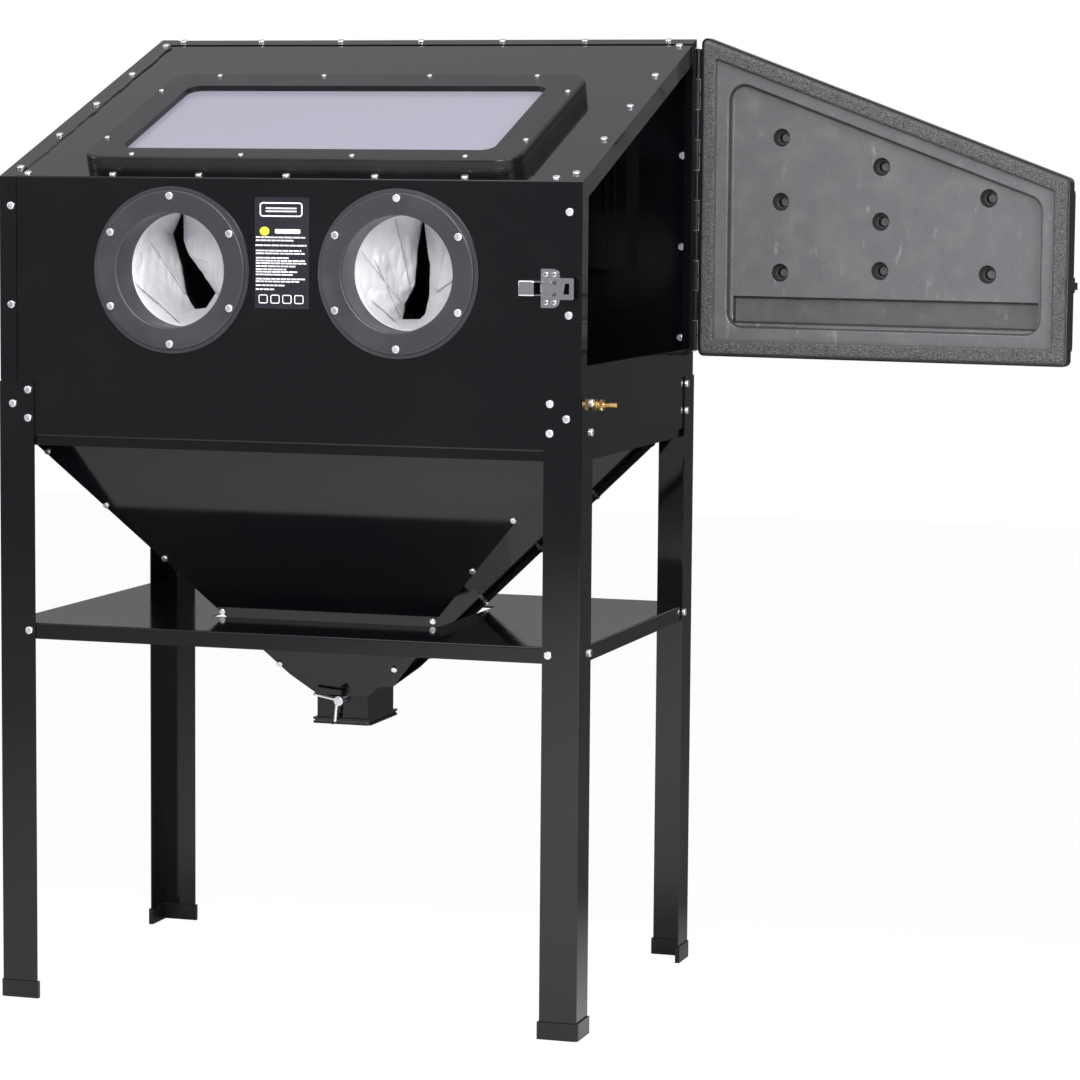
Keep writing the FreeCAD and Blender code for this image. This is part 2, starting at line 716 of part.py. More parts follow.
# ---------------------------------------------------------------- legs, feet and shelf
def corner_angle(sx, sy, outer, wall, side, z):
    """Angle section hugging the corner at (sx, sy), its outside at outer = (x, y)."""
    ox, oy = outer
    across = block(sorted((sx * ox, sx * (ox - side))), sorted((sy * oy, sy * (oy - wall))), z)
    along = block(sorted((sx * ox, sx * (ox - wall))), sorted((sy * oy, sy * (oy - side))), z)
    angle = fuse([across, along])
    edges = [e for e in angle.Edges if abs(e.CenterOfMass.x - sx * ox) < 0.01
             and abs(e.CenterOfMass.y - sy * oy) < 0.01]
    return angle.makeFillet(wall * 0.9, edges)


def leg(sx, sy):
    outer = (hx + leg_wall, hy + leg_wall)
    angle = corner_angle(sx, sy, outer, leg_wall, leg_side, (foot_base, leg_top))
    return drilled(angle, leg_face_places(sx, sy))


def foot_cap(sx, sy):
    """Plastic shoe over the leg's lower end, open on the inside of the angle."""
    outer = (hx + leg_wall, hy + leg_wall)
    grown = (outer[0] + foot_wall, outer[1] + foot_wall)
    shoe = corner_angle(sx, sy, grown, leg_wall + 2 * foot_wall, leg_side + 2 * foot_wall,
                        (0, foot_height))
    socket = corner_angle(sx, sy, outer, leg_wall, leg_side, (foot_base, leg_top))
    return shoe.cut(socket)


def shelf():
    ox, oy = hx - shelf_gap, hy - shelf_gap
    tray = block((-ox, ox), (-oy, oy), (shelf_top - shelf_skirt, shelf_top))
    edges = [e for e in tray.Edges if e.CenterOfMass.z > shelf_top - 0.1]
    tray = tray.makeFillet(bend + sheet, edges)
    hollow = block((-ox + sheet, ox - sheet), (-oy + sheet, oy - sheet),
                   (shelf_top - shelf_skirt - 1, shelf_top - sheet))
    cutout = block((-cutout_half_x, cutout_half_x), (-cutout_half_y, cutout_half_y),
                   (shelf_top - 30, shelf_top + 1))
    return drilled(tray.cut(hollow).cut(cutout), all_leg_places)


def leg_bolts():
    """Bolts of the legs at the body and at the shelf."""
    bolts = []
    for point, out in all_leg_places:
        bolts.append(bolt(point, out, leg_wall + 3 * sheet + 0.5))
    return group(bolts)


# ---------------------------------------------------------------- body fasteners
def body_bolts():
    bolts = []
    for point, out in body_bolt_places():
        bolts.append(bolt(point, out, 3 * sheet))
    return bolts


def roof_bolts():
    bolts = []
    for x, s in roof_bolt_places():
        lift = 0.0 if x > hx - 20 else sheet
        bolts.append(on_roof(bolt(V(x, s, lift), Z, lift + 2 * sheet)))
    return bolts


roof_holes = on_roof(group([Part.makeCylinder(bolt_radius + drill, 30, V(x, s, -15))
                            for x, s in roof_bolt_places()]))


# ---------------------------------------------------------------- side door
door_in = hx + door_gap                         # seal face of the closed door
door_land = door_in + door_seal_depth           # moulding's flat face behind the seal
door_out = door_in + door_thickness
door_front = hy - door_width


def door_outline(x, inset, end_inset):
    """Outline of the closed door in the plane at x, moved inwards by the insets."""
    rear, front = hy - end_inset, door_front + end_inset
    drop = inset / math.cos(roof_angle) - door_overlap
    return [V(x, front, door_bottom + inset), V(x, rear, door_bottom + inset),
            V(x, rear, roof_height(rear) - drop), V(x, front, roof_height(front) - drop)]


def door_slab(x, inset, corner=0.0, end_inset=None):
    ends = inset if end_inset is None else end_inset
    slab = plate(door_outline(x[0], inset, ends), X * (x[1] - x[0]))
    if corner:
        edges = [e for e in slab.Edges if abs(e.tangentAt(e.FirstParameter).x) > 0.99]
        slab = slab.makeFillet(corner, edges)
    return slab


def opened(shape):
    """Turn a piece of the closed door to the stored, open position."""
    turned = shape.copy()
    turned.rotate(V(hinge_x, hinge_y, 0), Z, door_open_angle)
    return turned


def door_shell():
    """Steel outer tray of the door: a flanged rim with a smaller box raised on its back."""
    step = door_in + door_rim_depth
    rim = door_slab((door_land - door_rim, step), 0, 9)
    box = door_slab((step - 1, door_out), door_box_inset, 12, door_box_end_inset)
    outer = fuse([rim, box])
    edges = [e for e in outer.Edges if e.CenterOfMass.x > door_out - 0.1]
    outer = outer.makeFillet(4, edges)
    inner_rim = door_slab((door_land - 10, step - sheet), sheet, 8)
    inner_box = door_slab((step - 5, door_out - sheet), door_box_inset + sheet, 10,
                          door_box_end_inset + sheet)
    return opened(outer.cut(inner_rim).cut(inner_box))


def kiss_off_places():
    """Moulded cones that tie the panel to the shell: (distance from the hinge edge, height)."""
    columns = [(127.0, (1067.5, 1175.0, 1272.0)), (289.0, (1073.0, 1147.0, 1229.0)),
               (459.0, (1071.0, 1184.0))]
    return [(hy - away, z) for away, heights in columns for z in heights]


def door_panel():
    """Moulded inner panel: a flat border, a recess, a trough and hollow cones."""
    skin = 3.0
    recess = door_land + 12.0
    back = door_out - sheet - 0.3
    border = door_slab((door_land, door_in + door_rim_depth - sheet - 0.3), sheet + 0.3, 8)
    middle = door_slab((door_land, recess + skin), door_recess_inset - skin, 20)
    panel = fuse([border, middle])
    pocket = door_slab((door_land - 5, recess), door_recess_inset, 24)
    foot = [e for e in pocket.Edges if e.CenterOfMass.x > recess - 0.1]
    panel = panel.cut(pocket.makeFillet(5.0, foot))
    lip = [e for e in panel.Edges if abs(e.CenterOfMass.x - door_land) < 0.1
           and e.BoundBox.YMin > door_front + door_recess_inset - 1
           and e.BoundBox.YMax < hy - door_recess_inset + 1
           and e.BoundBox.ZMin > door_bottom + door_recess_inset - 1]
    panel = panel.makeFillet(3.0, lip)
    ends = (door_front + door_recess_inset + 2 * skin, hy - door_recess_inset - 2 * skin)
    length = ends[1] - ends[0]
    trough_z = door_bottom + door_recess_inset + trough_radius + 2 * skin
    centre = V(recess, ends[0], trough_z)
    shell = Part.makeCylinder(trough_radius + skin, length + 2 * skin, centre - Y * skin, Y)
    inner = Part.makeCylinder(trough_radius, length, centre, Y)
    far = block((recess + trough_depth, door_out), (door_front, hy), (door_bottom, trough_z + 100))
    near = block((0, recess + 0.01), (door_front - 50, hy + 50), (door_bottom, trough_z + 100))
    panel = panel.fuse(shell.cut(near).cut(far.translated(X * skin)))
    for y, z in kiss_off_places():
        panel = panel.fuse(Part.makeCone(17.0, 9.0, back - recess, V(recess, y, z), X))
    panel = panel.cut(inner.cut(far))
    for y, z in kiss_off_places():
        cone = Part.makeCone(14.0, 6.0, back - recess - skin, V(recess, y, z), X)
        mouth = Part.makeCylinder(14.0, 3, V(recess - 3, y, z), X)
        panel = panel.cut(cone).cut(mouth)
    return opened(panel)


def door_seal():
    """Foam strip round the door that meets the body's side flange."""
    inset = door_rim + 1.0
    ring = door_slab((door_in, door_land), inset, 6)
    ring = ring.cut(door_slab((door_in - 1, door_land + 1), inset + door_seal_width, 3))
    face = [e for e in ring.Edges if e.CenterOfMass.x < door_in + 0.1]
    return opened(ring.makeFillet(door_seal_depth * 0.55, face))


def door_keeper():
    """Bent strap on the door's free edge; its upturned end is what the latch's claw hooks."""
    strap = 2.0
    half = 5.0
    corner = hx + 6.0
    over = -hy - 1.5                          # strap's inner face, clear of the front panel
    foot = block((corner, corner + 24), (door_front - strap, door_front),
                 (latch_z - 11, latch_z + 11))
    riser = block((corner - strap, corner), (over - strap, door_front), (latch_z - half,
                                                                         latch_z + half))
    arm = block((keeper_x, corner), (over - strap, over), (latch_z - half, latch_z + half))
    hook = block((keeper_x, keeper_x + strap), (keeper_reach, over), (latch_z - half,
                                                                      latch_z + half))
    return opened(fuse([foot, riser, arm, hook]))


def knuckles(first):
    """Every second barrel of the piano hinge, starting at the first or the second."""
    pitch = (hinge_top - hinge_bottom) / hinge_knuckles
    barrels = []
    for i in range(first, hinge_knuckles, 2):
        z = hinge_bottom + i * pitch
        barrels.append((z + 0.2, z + pitch - 0.2))
    return barrels


def hinge_half(first, side):
    """One leaf with its barrels; side is -1 for the body's leaf and 1 for the door's."""
    near = hinge_x + side * (hinge_radius + free_gap)
    far = hinge_x + side * hinge_leaf_width
    leaf = [block(sorted((near, far)), (hy, hy + hinge_leaf), (hinge_bottom, hinge_top))]
    for z0, z1 in knuckles(first):
        leaf.append(Part.makeCylinder(hinge_radius, z1 - z0, V(hinge_x, hinge_y, z0), Z))
        leaf.append(block(sorted((near, hinge_x)), (hy, hy + hinge_leaf), (z0, z1)))
    bore = Part.makeCylinder(hinge_pin_radius + running, 600, V(hinge_x, hinge_y, 900), Z)
    return fuse(leaf).cut(bore)


def hinge_pin():
    return Part.makeCylinder(hinge_pin_radius, hinge_top - hinge_bottom + 4,
                             V(hinge_x, hinge_y, hinge_bottom - 2), Z)


def hinge_rivets(side):
    """Rivet heads on one hinge leaf."""
    x = hinge_x + side * (hinge_leaf_width - 4.5)
    pitch = (hinge_top - hinge_bottom) / hinge_knuckles
    rivets = []
    for i in range(0, hinge_knuckles, 2):
        point = V(x, hy + hinge_leaf, hinge_bottom + (i + 0.5) * pitch)
        head = Part.makeCylinder(3.4, 1.8, point, Y)
        crown = [e for e in head.Edges if e.CenterOfMass.y > point.y + 1.7]
        rivets.append(head.makeFillet(1.2, crown))
    return rivets


# ---------------------------------------------------------------- toggle latch
latch_face = -hy
latch_pivot_y = latch_face - 9.0
claw_pivot = V(latch_x - 12.0, latch_face - 11.8, 0)
claw_sheet = 1.6
claw_pin_radius = 1.5


def latch_base():
    """Base plate with two rounded ears, two lugs and the lever's pivot pin."""
    x0, x1 = latch_x - 17.0, latch_x + 10.5
    ears = block((x0, x1), (latch_face - sheet, latch_face), (latch_z - 27, latch_z + 27))
    edges = [e for e in ears.Edges if abs(e.tangentAt(e.FirstParameter).y) > 0.99
             and e.CenterOfMass.x > x1 - 0.1]
    pieces = [ears.makeFillet(11, edges)]
    for z in (latch_z - 8.0, latch_z + 6.5):
        pieces.append(block((latch_x - 7, latch_x + 6), (latch_face - 12.5, latch_face - 1),
                            (z, z + 1.5)))
    pieces.append(Part.makeCylinder(2.0, 22, V(latch_x, latch_pivot_y, latch_z - 11), Z))
    return fuse(pieces)


def latch_screws():
    screws = []
    for z in (latch_z - 19.5, latch_z + 19.5):
        for x in (latch_x - 10.0, latch_x + 2.0):
            point = V(x, latch_face - sheet, z)
            head = Part.makeCylinder(3.2, 1.6, point, -Y)
            crown = [e for e in head.Edges if e.CenterOfMass.y < point.y - 1.5]
            screws.append(head.makeFillet(0.9, crown))
    return screws


def latch_lever():
    """Channel with two cheeks and a smooth rounded grip."""
    pieces = []
    for z in (latch_z - 9.9, latch_z + 8.4):
        pieces.append(block((latch_x - 38, latch_x + 4), (latch_face - 15.5, latch_face - 3.5),
                            (z, z + 1.5)))
    pieces.append(block((latch_x - 38, latch_x - 24), (latch_face - 16.5, latch_face - 15),
                        (latch_z - 9.9, latch_z + 9.9)))
    grip = block((latch_x - 45.5, latch_x - 22.5), (latch_face - 18, latch_face - 13),
                 (latch_z - 10.8, latch_z + 10.8))
    grip = grip.makeFillet(2.2, grip.Edges)
    pieces.append(grip)
    lever = fuse(pieces)
    bore = Part.makeCylinder(2.0 + running, 40, V(latch_x, latch_pivot_y, latch_z - 20), Z)
    pin = V(claw_pivot.x, claw_pivot.y, latch_z - 20)
    return lever.cut(bore).cut(Part.makeCylinder(claw_pin_radius + running, 40, pin, Z))


def latch_claw_pin():
    return Part.makeCylinder(claw_pin_radius, 20.4,
                             V(claw_pivot.x, claw_pivot.y, latch_z - 10.2), Z)


def latch_claw():
    """Flat claw with a tongue to its pivot and a tapered slot for the keeper's hook."""
    y0, y1 = latch_face - 13.0, latch_face - 13.0 + claw_sheet
    head = block((latch_x + 8.5, latch_x + 34), (y0, y1), (latch_z - 15, latch_z + 15))
    corners = [e for e in head.Edges if abs(e.tangentAt(e.FirstParameter).y) > 0.99]
    head = head.makeFillet(2.5, corners)
    tongue = block((claw_pivot.x, latch_x + 12), (y0, y1), (latch_z - 5.5, latch_z + 5.5))
    eye = Part.makeCylinder(2.7, 11, V(claw_pivot.x, claw_pivot.y, latch_z - 5.5), Z)
    claw = fuse([head, tongue, eye])
    slot = plate([V(latch_x + 19.0, y0 - 1, latch_z - 7.5), V(latch_x + 27.5, y0 - 1, latch_z - 7.5),
                  V(latch_x + 27.5, y0 - 1, latch_z + 7.5), V(latch_x + 21.5, y0 - 1, latch_z + 7.5)],
                 Y * 5)
    bore = Part.makeCylinder(claw_pin_radius + running, 30,
                             V(claw_pivot.x, claw_pivot.y, latch_z - 15), Z)
    return claw.cut(slot).cut(bore)


# ---------------------------------------------------------------- air, exhaust and light
inlet_thread = 5.0
inlet_point = V(hx, -237.5, 894.0)
exhaust_x, exhaust_z, exhaust_radius, exhaust_length = 215.0, 1215.0, 50.0, 42.0


def air_inlet():
    """Brass hose tail screwed through the side panel beside the front leg."""
    axis = inlet_point
    stem = Part.makeCylinder(inlet_thread, 24, axis - X * 14, X)
    hexagon = [axis + X * 10 + FreeCAD.Rotation(X, 60 * i).multVec(V(0, 8.8, 0)) for i in range(6)]
    tail = Part.makeCylinder(4.0, 20, axis + X * 15, X)
    inner_tail = Part.makeCylinder(4.0, 32, axis - X * 46, X)
    bore = Part.makeCylinder(2.4, 100, axis - X * 50, X)
    return fuse([stem, plate(hexagon, X * 5), tail, inner_tail]).cut(bore)


def air_inlet_nuts():
    """Lock nuts on both sides of the panel."""
    nuts = []
    for x0 in (hx - sheet - 5.0, hx):
        corner = V(x0, inlet_point.y, inlet_point.z)
        outline = [corner + FreeCAD.Rotation(X, 60 * i + 30).multVec(V(0, 8.2, 0))
                   for i in range(6)]
        nut = plate(outline, X * 5.0)
        nuts.append(nut.cut(Part.makeCylinder(inlet_thread, 10, corner - X, X)))
    return nuts


def exhaust_spigot():
    """Flanged spigot on the rear panel for a dust collector hose."""
    flange = Part.makeCylinder(exhaust_radius + 18, 3, V(exhaust_x, hy, exhaust_z), Y)
    tube = Part.makeCylinder(exhaust_radius, exhaust_length, V(exhaust_x, hy, exhaust_z), Y)
    bore = Part.makeCylinder(exhaust_radius - 2, 100, V(exhaust_x, hy - 5, exhaust_z), Y)
    return fuse([flange, tube]).cut(bore)


def exhaust_baffle():
    """Folded box over the exhaust hole inside, open below, that keeps abrasive in."""
    x0, x1, depth = 92.0, 341.0, 34.0
    rear = hy - sheet
    z0, z1 = 1070.0, 1350.0
    box = block((x0, x1), (rear - depth, rear), (z0, z1))
    hollow = block((x0 + sheet, x1 - sheet), (rear - depth + sheet, rear + 1), (z0 - 1, z1 - sheet))
    ribs = [block((x, x + 3), (rear - depth - 3, rear - depth), (z0, z1)) for x in (306.0, 319.0)]
    return fuse([box] + ribs).cut(hollow)


def light_housing():
    z0 = 1352.0
    body = block((-250, 80), (hy - 46, hy - sheet), (z0, z0 + 24))
    recess = block((-244, 74), (hy - 42, hy - 8), (z0 - 1, z0 + 6))
    return body.cut(recess)


def light_diffuser():
    z0 = 1352.0
    return block((-243.7, 73.7), (hy - 41.7, hy - 8.3), (z0 + 1, z0 + 6))


# ---------------------------------------------------------------- inside the cabinet
def work_grate():
    """Lift-out perforated grate lying on the folds at the bottom of the body."""
    gap = 6.0
    ox, oy = hx - sheet - gap, hy - 2 * sheet - gap
    bottom = body_bottom + sheet + free_gap
    slab = block((-ox, ox), (-oy, oy), (bottom, bottom + 4))
    notch = leg_side + 4.0
    for sx in (-1, 1):
        for sy in (-1, 1):
            ends_x, ends_y = sorted((sx * (hx - notch), sx * hx)), sorted((sy * (hy - notch), sy * hy))
            slab = slab.cut(block(ends_x, ends_y, (bottom - 1, bottom + 5)))
    columns, rows = 17, 11
    step_x, step_y = (2 * ox - 40) / columns, (2 * oy - 40) / rows
    holes = []
    for i in range(columns):
        for j in range(rows):
            holes.append(Part.makeCylinder(14.0, 8, V(-ox + 20 + (i + 0.5) * step_x,
                                                      -oy + 20 + (j + 0.5) * step_y, bottom - 2)))
    return max(slab.cut(group(holes)).Solids, key=lambda solid: solid.Volume)


gun = V(-400.0, 70.0, 1010.0)       # rear end of the gun's barrel axis
gun_radius = 15.0


def gun_body():
    """Barrel, grip and the two hose tails of the blast gun."""
    barrel = Part.makeCylinder(gun_radius, 96, gun, Y)
    grip = rounded_slab((gun.x - 11, gun.x + 11), (gun.y + 6, gun.y + 38), (gun.z - 112, gun.z), 9)
    media_tail = Part.makeCylinder(8.0, 22, gun - Y * 20, Y)
    air_tail = Part.makeCylinder(5.0, 20, V(gun.x, gun.y + 22, gun.z - 130), Z)
    bore = Part.makeCylinder(5.5, 130, gun - Y * 25, Y)
    ears = block((gun.x - 9, gun.x + 9), (gun.y + 52, gun.y + 64), (gun.z - 24, gun.z))
    gap = block((gun.x - 5.4, gun.x + 5.4), (gun.y + 50, gun.y + 66), (gun.z - 30, gun.z - gun_radius - 1))
    pin = Part.makeCylinder(1.5, 18, V(gun.x - 9, gun.y + 58, gun.z - 20), X)
    return fuse([barrel, grip, media_tail, air_tail, ears]).cut(bore).cut(gap).fuse(pin)


def gun_nozzle():
    """Ceramic nozzle held by a ring nut."""
    front = gun + Y * 96
    ring = Part.makeCylinder(gun_radius + 2, 16, front, Y)
    tip = Part.makeCone(9.0, 7.0, 32, front + Y * 16, Y)
    return fuse([ring, tip]).cut(Part.makeCylinder(3.0, 60, front - Y, Y))


def gun_trigger():
    """Trigger blade that turns back towards the grip."""
    pivot = V(gun.x, gun.y + 58, gun.z - 20)
    eye = Part.makeCylinder(4.0, 10, pivot - X * 5, X)
    low = pivot + V(0, -6, -62)
    blade = plate([pivot + V(-5, -3, 0), pivot + V(-5, 3.5, 0), low + V(-5, 3, 0),
                   low + V(-5, -2, 0)], X * 10)
    bore = Part.makeCylinder(1.5 + running, 20, pivot - X * 10, X)
    return fuse([eye, blade]).cut(bore)


def gun_hook():
    """Cradle on the left side that the gun's barrel hangs in."""
    wall = -hx + sheet
    y = (gun.y + 74, gun.y + 88)
    low = gun.z - gun_radius - free_gap
    back = block((wall, wall + 2), y, (low - 30, low + 8))
    arm = block((wall, gun.x + gun_radius + 6), y, (low - 2.5, low))
    tip = block((gun.x + gun_radius + 4, gun.x + gun_radius + 6), y, (low - 2.5, low + 14))
    return fuse([back, arm, tip])


def pickup_tube():
    """Suction tube that stands in the abrasive, along the hopper's rear plate."""
    along = V(0, hopper_half_y - outlet_half_y, hopper_top - outlet_top).normalize()
    radius = 11.0
    inward = hopper_normal(1)
    foot = V(-14, outlet_half_y, outlet_top) + inward * (radius + sheet + 0.6) + along * 20
    tube = Part.makeCylinder(radius, 330, foot, along)
    tail = Part.makeCylinder(8.0, 22, foot + along * 329, along)
    bore = Part.makeCylinder(6.0, 400, foot - along * 5, along)
    return tube.fuse(tail).cut(bore)


def label_plate():
    return block((-44, 38), (-hy - 0.6, -hy), (1022, 1179))


# ---------------------------------------------------------------- all nodes
nodes["front_panel"] = front_panel()
nodes["rear_panel"] = rear_panel()
nodes["left_side_panel"] = fitted(left_side_panel())
nodes["right_side_panel"] = fitted(right_side_panel())
nodes["roof_panel"] = fitted(roof_panel())
nodes["window_base_frame"] = window_base_frame()
nodes["window_top_frame"] = window_top_frame()
nodes["window_pane"] = window_pane()
nodes["window_screws"] = window_screws()
nodes["port_bolts"] = port_bolts()
nodes["glove_clamps"] = glove_clamps()
for name, x in (("left", -port_x), ("right", port_x)):
    nodes["port_ring_" + name] = port_ring(x)
    nodes["glove_" + name] = glove(x)
nodes["label_plate"] = label_plate()
nodes["panel_bolts"] = group(body_bolts() + roof_bolts())
nodes["base_frame"] = base_frame()
nodes["hopper_front"] = hopper_end(-1)
nodes["hopper_rear"] = hopper_end(1)
nodes["hopper_left"] = hopper_side(-1)
nodes["hopper_right"] = hopper_side(1)
nodes["hopper_bolts"] = hopper_bolts()
nodes["outlet_box"] = outlet_box()
nodes["dump_pins"] = group([dump_hinge_pin(), dump_lever_pivot()])
nodes["dump_door"] = dump_door()
nodes["dump_seal"] = dump_seal_ring()
nodes["dump_lever"] = dump_lever()
for fore, sy in (("front", -1), ("rear", 1)):
    for hand, sx in (("left", -1), ("right", 1)):
        nodes["leg_%s_%s" % (fore, hand)] = leg(sx, sy)
        nodes["foot_%s_%s" % (fore, hand)] = foot_cap(sx, sy)
nodes["shelf"] = shelf()
nodes["leg_bolts"] = leg_bolts()
nodes["door_shell"] = door_shell()
nodes["door_panel"] = door_panel()
nodes["door_seal"] = door_seal()
nodes["door_keeper"] = door_keeper()
nodes["hinge_leaf_body"] = group([hinge_half(0, -1)] + hinge_rivets(-1))
nodes["hinge_leaf_door"] = opened(group([hinge_half(1, 1)] + hinge_rivets(1)))
nodes["hinge_pin"] = hinge_pin()
nodes["latch_base"] = group([latch_base()] + latch_screws())
nodes["latch_lever"] = latch_lever()
nodes["latch_claw_pin"] = latch_claw_pin()
nodes["latch_claw"] = latch_claw()
nodes["air_inlet"] = group([air_inlet()] + air_inlet_nuts())
nodes["exhaust_spigot"] = exhaust_spigot()
nodes["exhaust_baffle"] = exhaust_baffle()
nodes["light_housing"] = light_housing()
nodes["light_diffuser"] = light_diffuser()
nodes["work_grate"] = work_grate()
nodes["gun_body"] = gun_body()
nodes["gun_nozzle"] = gun_nozzle()
nodes["gun_trigger"] = gun_trigger()
nodes["gun_hook"] = gun_hook()
nodes["pickup_tube"] = pickup_tube()

for name, shape in nodes.items():
    shape.exportStep("parts/%s.step" % name)
    print("%-20s solids %3d  volume %.0f  valid %s"
          % (name, len(shape.Solids), shape.Volume, shape.isValid()))
print(len(nodes), "nodes")
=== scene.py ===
import bpy
import math
import random
from mathutils import Matrix, Vector, noise


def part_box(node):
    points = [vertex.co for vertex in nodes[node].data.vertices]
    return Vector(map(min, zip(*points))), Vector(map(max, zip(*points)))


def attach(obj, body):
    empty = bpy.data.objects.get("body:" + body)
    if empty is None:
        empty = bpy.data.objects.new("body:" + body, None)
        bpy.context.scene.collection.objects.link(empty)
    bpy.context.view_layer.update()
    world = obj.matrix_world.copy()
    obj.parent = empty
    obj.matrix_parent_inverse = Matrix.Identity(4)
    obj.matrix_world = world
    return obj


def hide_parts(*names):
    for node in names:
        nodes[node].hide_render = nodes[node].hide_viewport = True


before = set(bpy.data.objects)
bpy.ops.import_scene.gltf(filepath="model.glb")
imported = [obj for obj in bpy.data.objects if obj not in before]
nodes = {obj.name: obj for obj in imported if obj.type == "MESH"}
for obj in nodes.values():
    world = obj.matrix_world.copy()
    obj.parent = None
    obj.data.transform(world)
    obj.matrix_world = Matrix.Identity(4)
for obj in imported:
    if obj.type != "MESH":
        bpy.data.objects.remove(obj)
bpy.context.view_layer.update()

MM = 0.001

# ---------------------------------------------------------------- studio
# The cabinet stands on a plain white sweep under large soft boxes. The room behind the
# camera is darker than the rest, so the upright gloss black sheets stay nearly black.


def deselect():
    if bpy.context.object and bpy.context.object.mode != "OBJECT":
        bpy.ops.object.mode_set(mode="OBJECT")
    bpy.ops.object.select_all(action="DESELECT")


def new_material(name, colour, roughness, metallic=0.0):
    """A Principled material with its plain values set; returns it, its nodes and its shader."""
    material = bpy.data.materials.new(name)
    material.use_nodes = True
    tree = material.node_tree
    shader = tree.nodes["Principled BSDF"]
    shader.inputs["Base Color"].default_value = (*colour, 1)
    shader.inputs["Roughness"].default_value = roughness
    shader.inputs["Metallic"].default_value = metallic
    return material, tree, shader


deselect()
bpy.ops.mesh.primitive_plane_add(size=14, location=(0, 0.5, -0.0005))
floor = bpy.context.object
floor.name = "studio_floor"
bpy.ops.object.transform_apply(location=True, rotation=True, scale=True)
floor_white, tree, shader = new_material("floor_white", (0.62, 0.62, 0.625), 0.85)
output = tree.nodes["Material Output"]
bright_floor = tree.nodes.new("ShaderNodeEmission")
bright_floor.inputs["Color"].default_value = (1.0, 1.0, 1.0, 1)
bright_floor.inputs["Strength"].default_value = 1.08
lit_floor = tree.nodes.new("ShaderNodeMixShader")
lit_floor.inputs[0].default_value = 0.90
seen = tree.nodes.new("ShaderNodeLightPath")
shown_floor = tree.nodes.new("ShaderNodeMixShader")
tree.links.new(shader.outputs[0], lit_floor.inputs[1])
tree.links.new(bright_floor.outputs[0], lit_floor.inputs[2])
tree.links.new(seen.outputs["Is Camera Ray"], shown_floor.inputs[0])
tree.links.new(shader.outputs[0], shown_floor.inputs[1])
tree.links.new(lit_floor.outputs[0], shown_floor.inputs[2])
tree.links.new(shown_floor.outputs[0], output.inputs["Surface"])
floor.data.materials.append(floor_white)
place = tree.nodes.new("ShaderNodeTexCoord").outputs["Object"]
floor_axes = tree.nodes.new("ShaderNodeSeparateXYZ")
tree.links.new(place, floor_axes.inputs[0])
# Painted shade on the floor, seen only in reflections and bounce light: darker towards the back
# and the left. Each row is an axis, where its fade starts and ends in metres, and its shade at
# both ends.
FLOOR_SHADE_FADES = (("X", -1.7, -0.1, 0.34, 1.0), ("Y", -0.2, 0.7, 0.80, 0.10))
shade_fades = []
for axis, first, last, first_shade, last_shade in FLOOR_SHADE_FADES:
    fade = tree.nodes.new("ShaderNodeMapRange")
    fade.inputs["From Min"].default_value = first
    fade.inputs["From Max"].default_value = last
    fade.inputs["To Min"].default_value = first_shade
    fade.inputs["To Max"].default_value = last_shade
    tree.links.new(floor_axes.outputs[axis], fade.inputs["Value"])
    shade_fades.append(fade.outputs[0])
floor_shade = tree.nodes.new("ShaderNodeMath")
floor_shade.operation = "MULTIPLY"
tree.links.new(shade_fades[0], floor_shade.inputs[0])
tree.links.new(shade_fades[1], floor_shade.inputs[1])
# The painted floor shade becomes the base colour that reflections and bounce light see.
tree.links.new(floor_shade.outputs[0], shader.inputs["Base Color"])

world = bpy.data.worlds.new("studio_room")
bpy.context.scene.world = world
world.use_nodes = True
tree = world.node_tree
tree.nodes.clear()
output = tree.nodes.new("ShaderNodeOutputWorld")
coords = tree.nodes.new("ShaderNodeTexCoord")
split = tree.nodes.new("ShaderNodeSeparateXYZ")
tree.links.new(coords.outputs["Generated"], split.inputs[0])


def brightness_by_height(stops):
    """Room brightness against the height of the direction, from -1 below to 1 above."""
    ramp = tree.nodes.new("ShaderNodeValToRGB")
    while len(ramp.color_ramp.elements) < len(stops):
        ramp.color_ramp.elements.new(0.5)
    for element, (height, value) in zip(ramp.color_ramp.elements, stops):
        element.position = height * 0.5 + 0.5
        element.color = (value, value, value * 1.03, 1)
    share = tree.nodes.new("ShaderNodeMath")
    share.operation = "MULTIPLY_ADD"
    share.inputs[1].default_value = 0.5
    share.inputs[2].default_value = 0.5
    tree.links.new(split.outputs["Z"], share.inputs[0])
    tree.links.new(share.outputs[0], ramp.inputs[0])
    return ramp.outputs["Color"]


behind = brightness_by_height(((-0.2, 0.08), (0.04, 0.12), (0.22, 0.42), (0.60, 0.52)))
in_front = brightness_by_height(((-0.3, 0.26), (0.10, 0.27), (0.55, 0.75), (0.9, 1.0)))
side = tree.nodes.new("ShaderNodeMapRange")
side.inputs["From Min"].default_value = -0.45
side.inputs["From Max"].default_value = 0.25
tree.links.new(split.outputs["Y"], side.inputs["Value"])
room_mix = tree.nodes.new("ShaderNodeMix")
room_mix.data_type = "RGBA"
tree.links.new(side.outputs[0], room_mix.inputs["Factor"])
tree.links.new(in_front, room_mix.inputs["A"])
tree.links.new(behind, room_mix.inputs["B"])
room = tree.nodes.new("ShaderNodeBackground")
tree.links.new(room_mix.outputs["Result"], room.inputs["Color"])
backdrop = tree.nodes.new("ShaderNodeBackground")
backdrop.inputs["Color"].default_value = (1.0, 1.0, 1.0, 1)
seen = tree.nodes.new("ShaderNodeLightPath")
mix = tree.nodes.new("ShaderNodeMixShader")
tree.links.new(seen.outputs["Is Camera Ray"], mix.inputs[0])
tree.links.new(room.outputs[0], mix.inputs[1])
tree.links.new(backdrop.outputs[0], mix.inputs[2])
tree.links.new(mix.outputs[0], output.inputs[0])

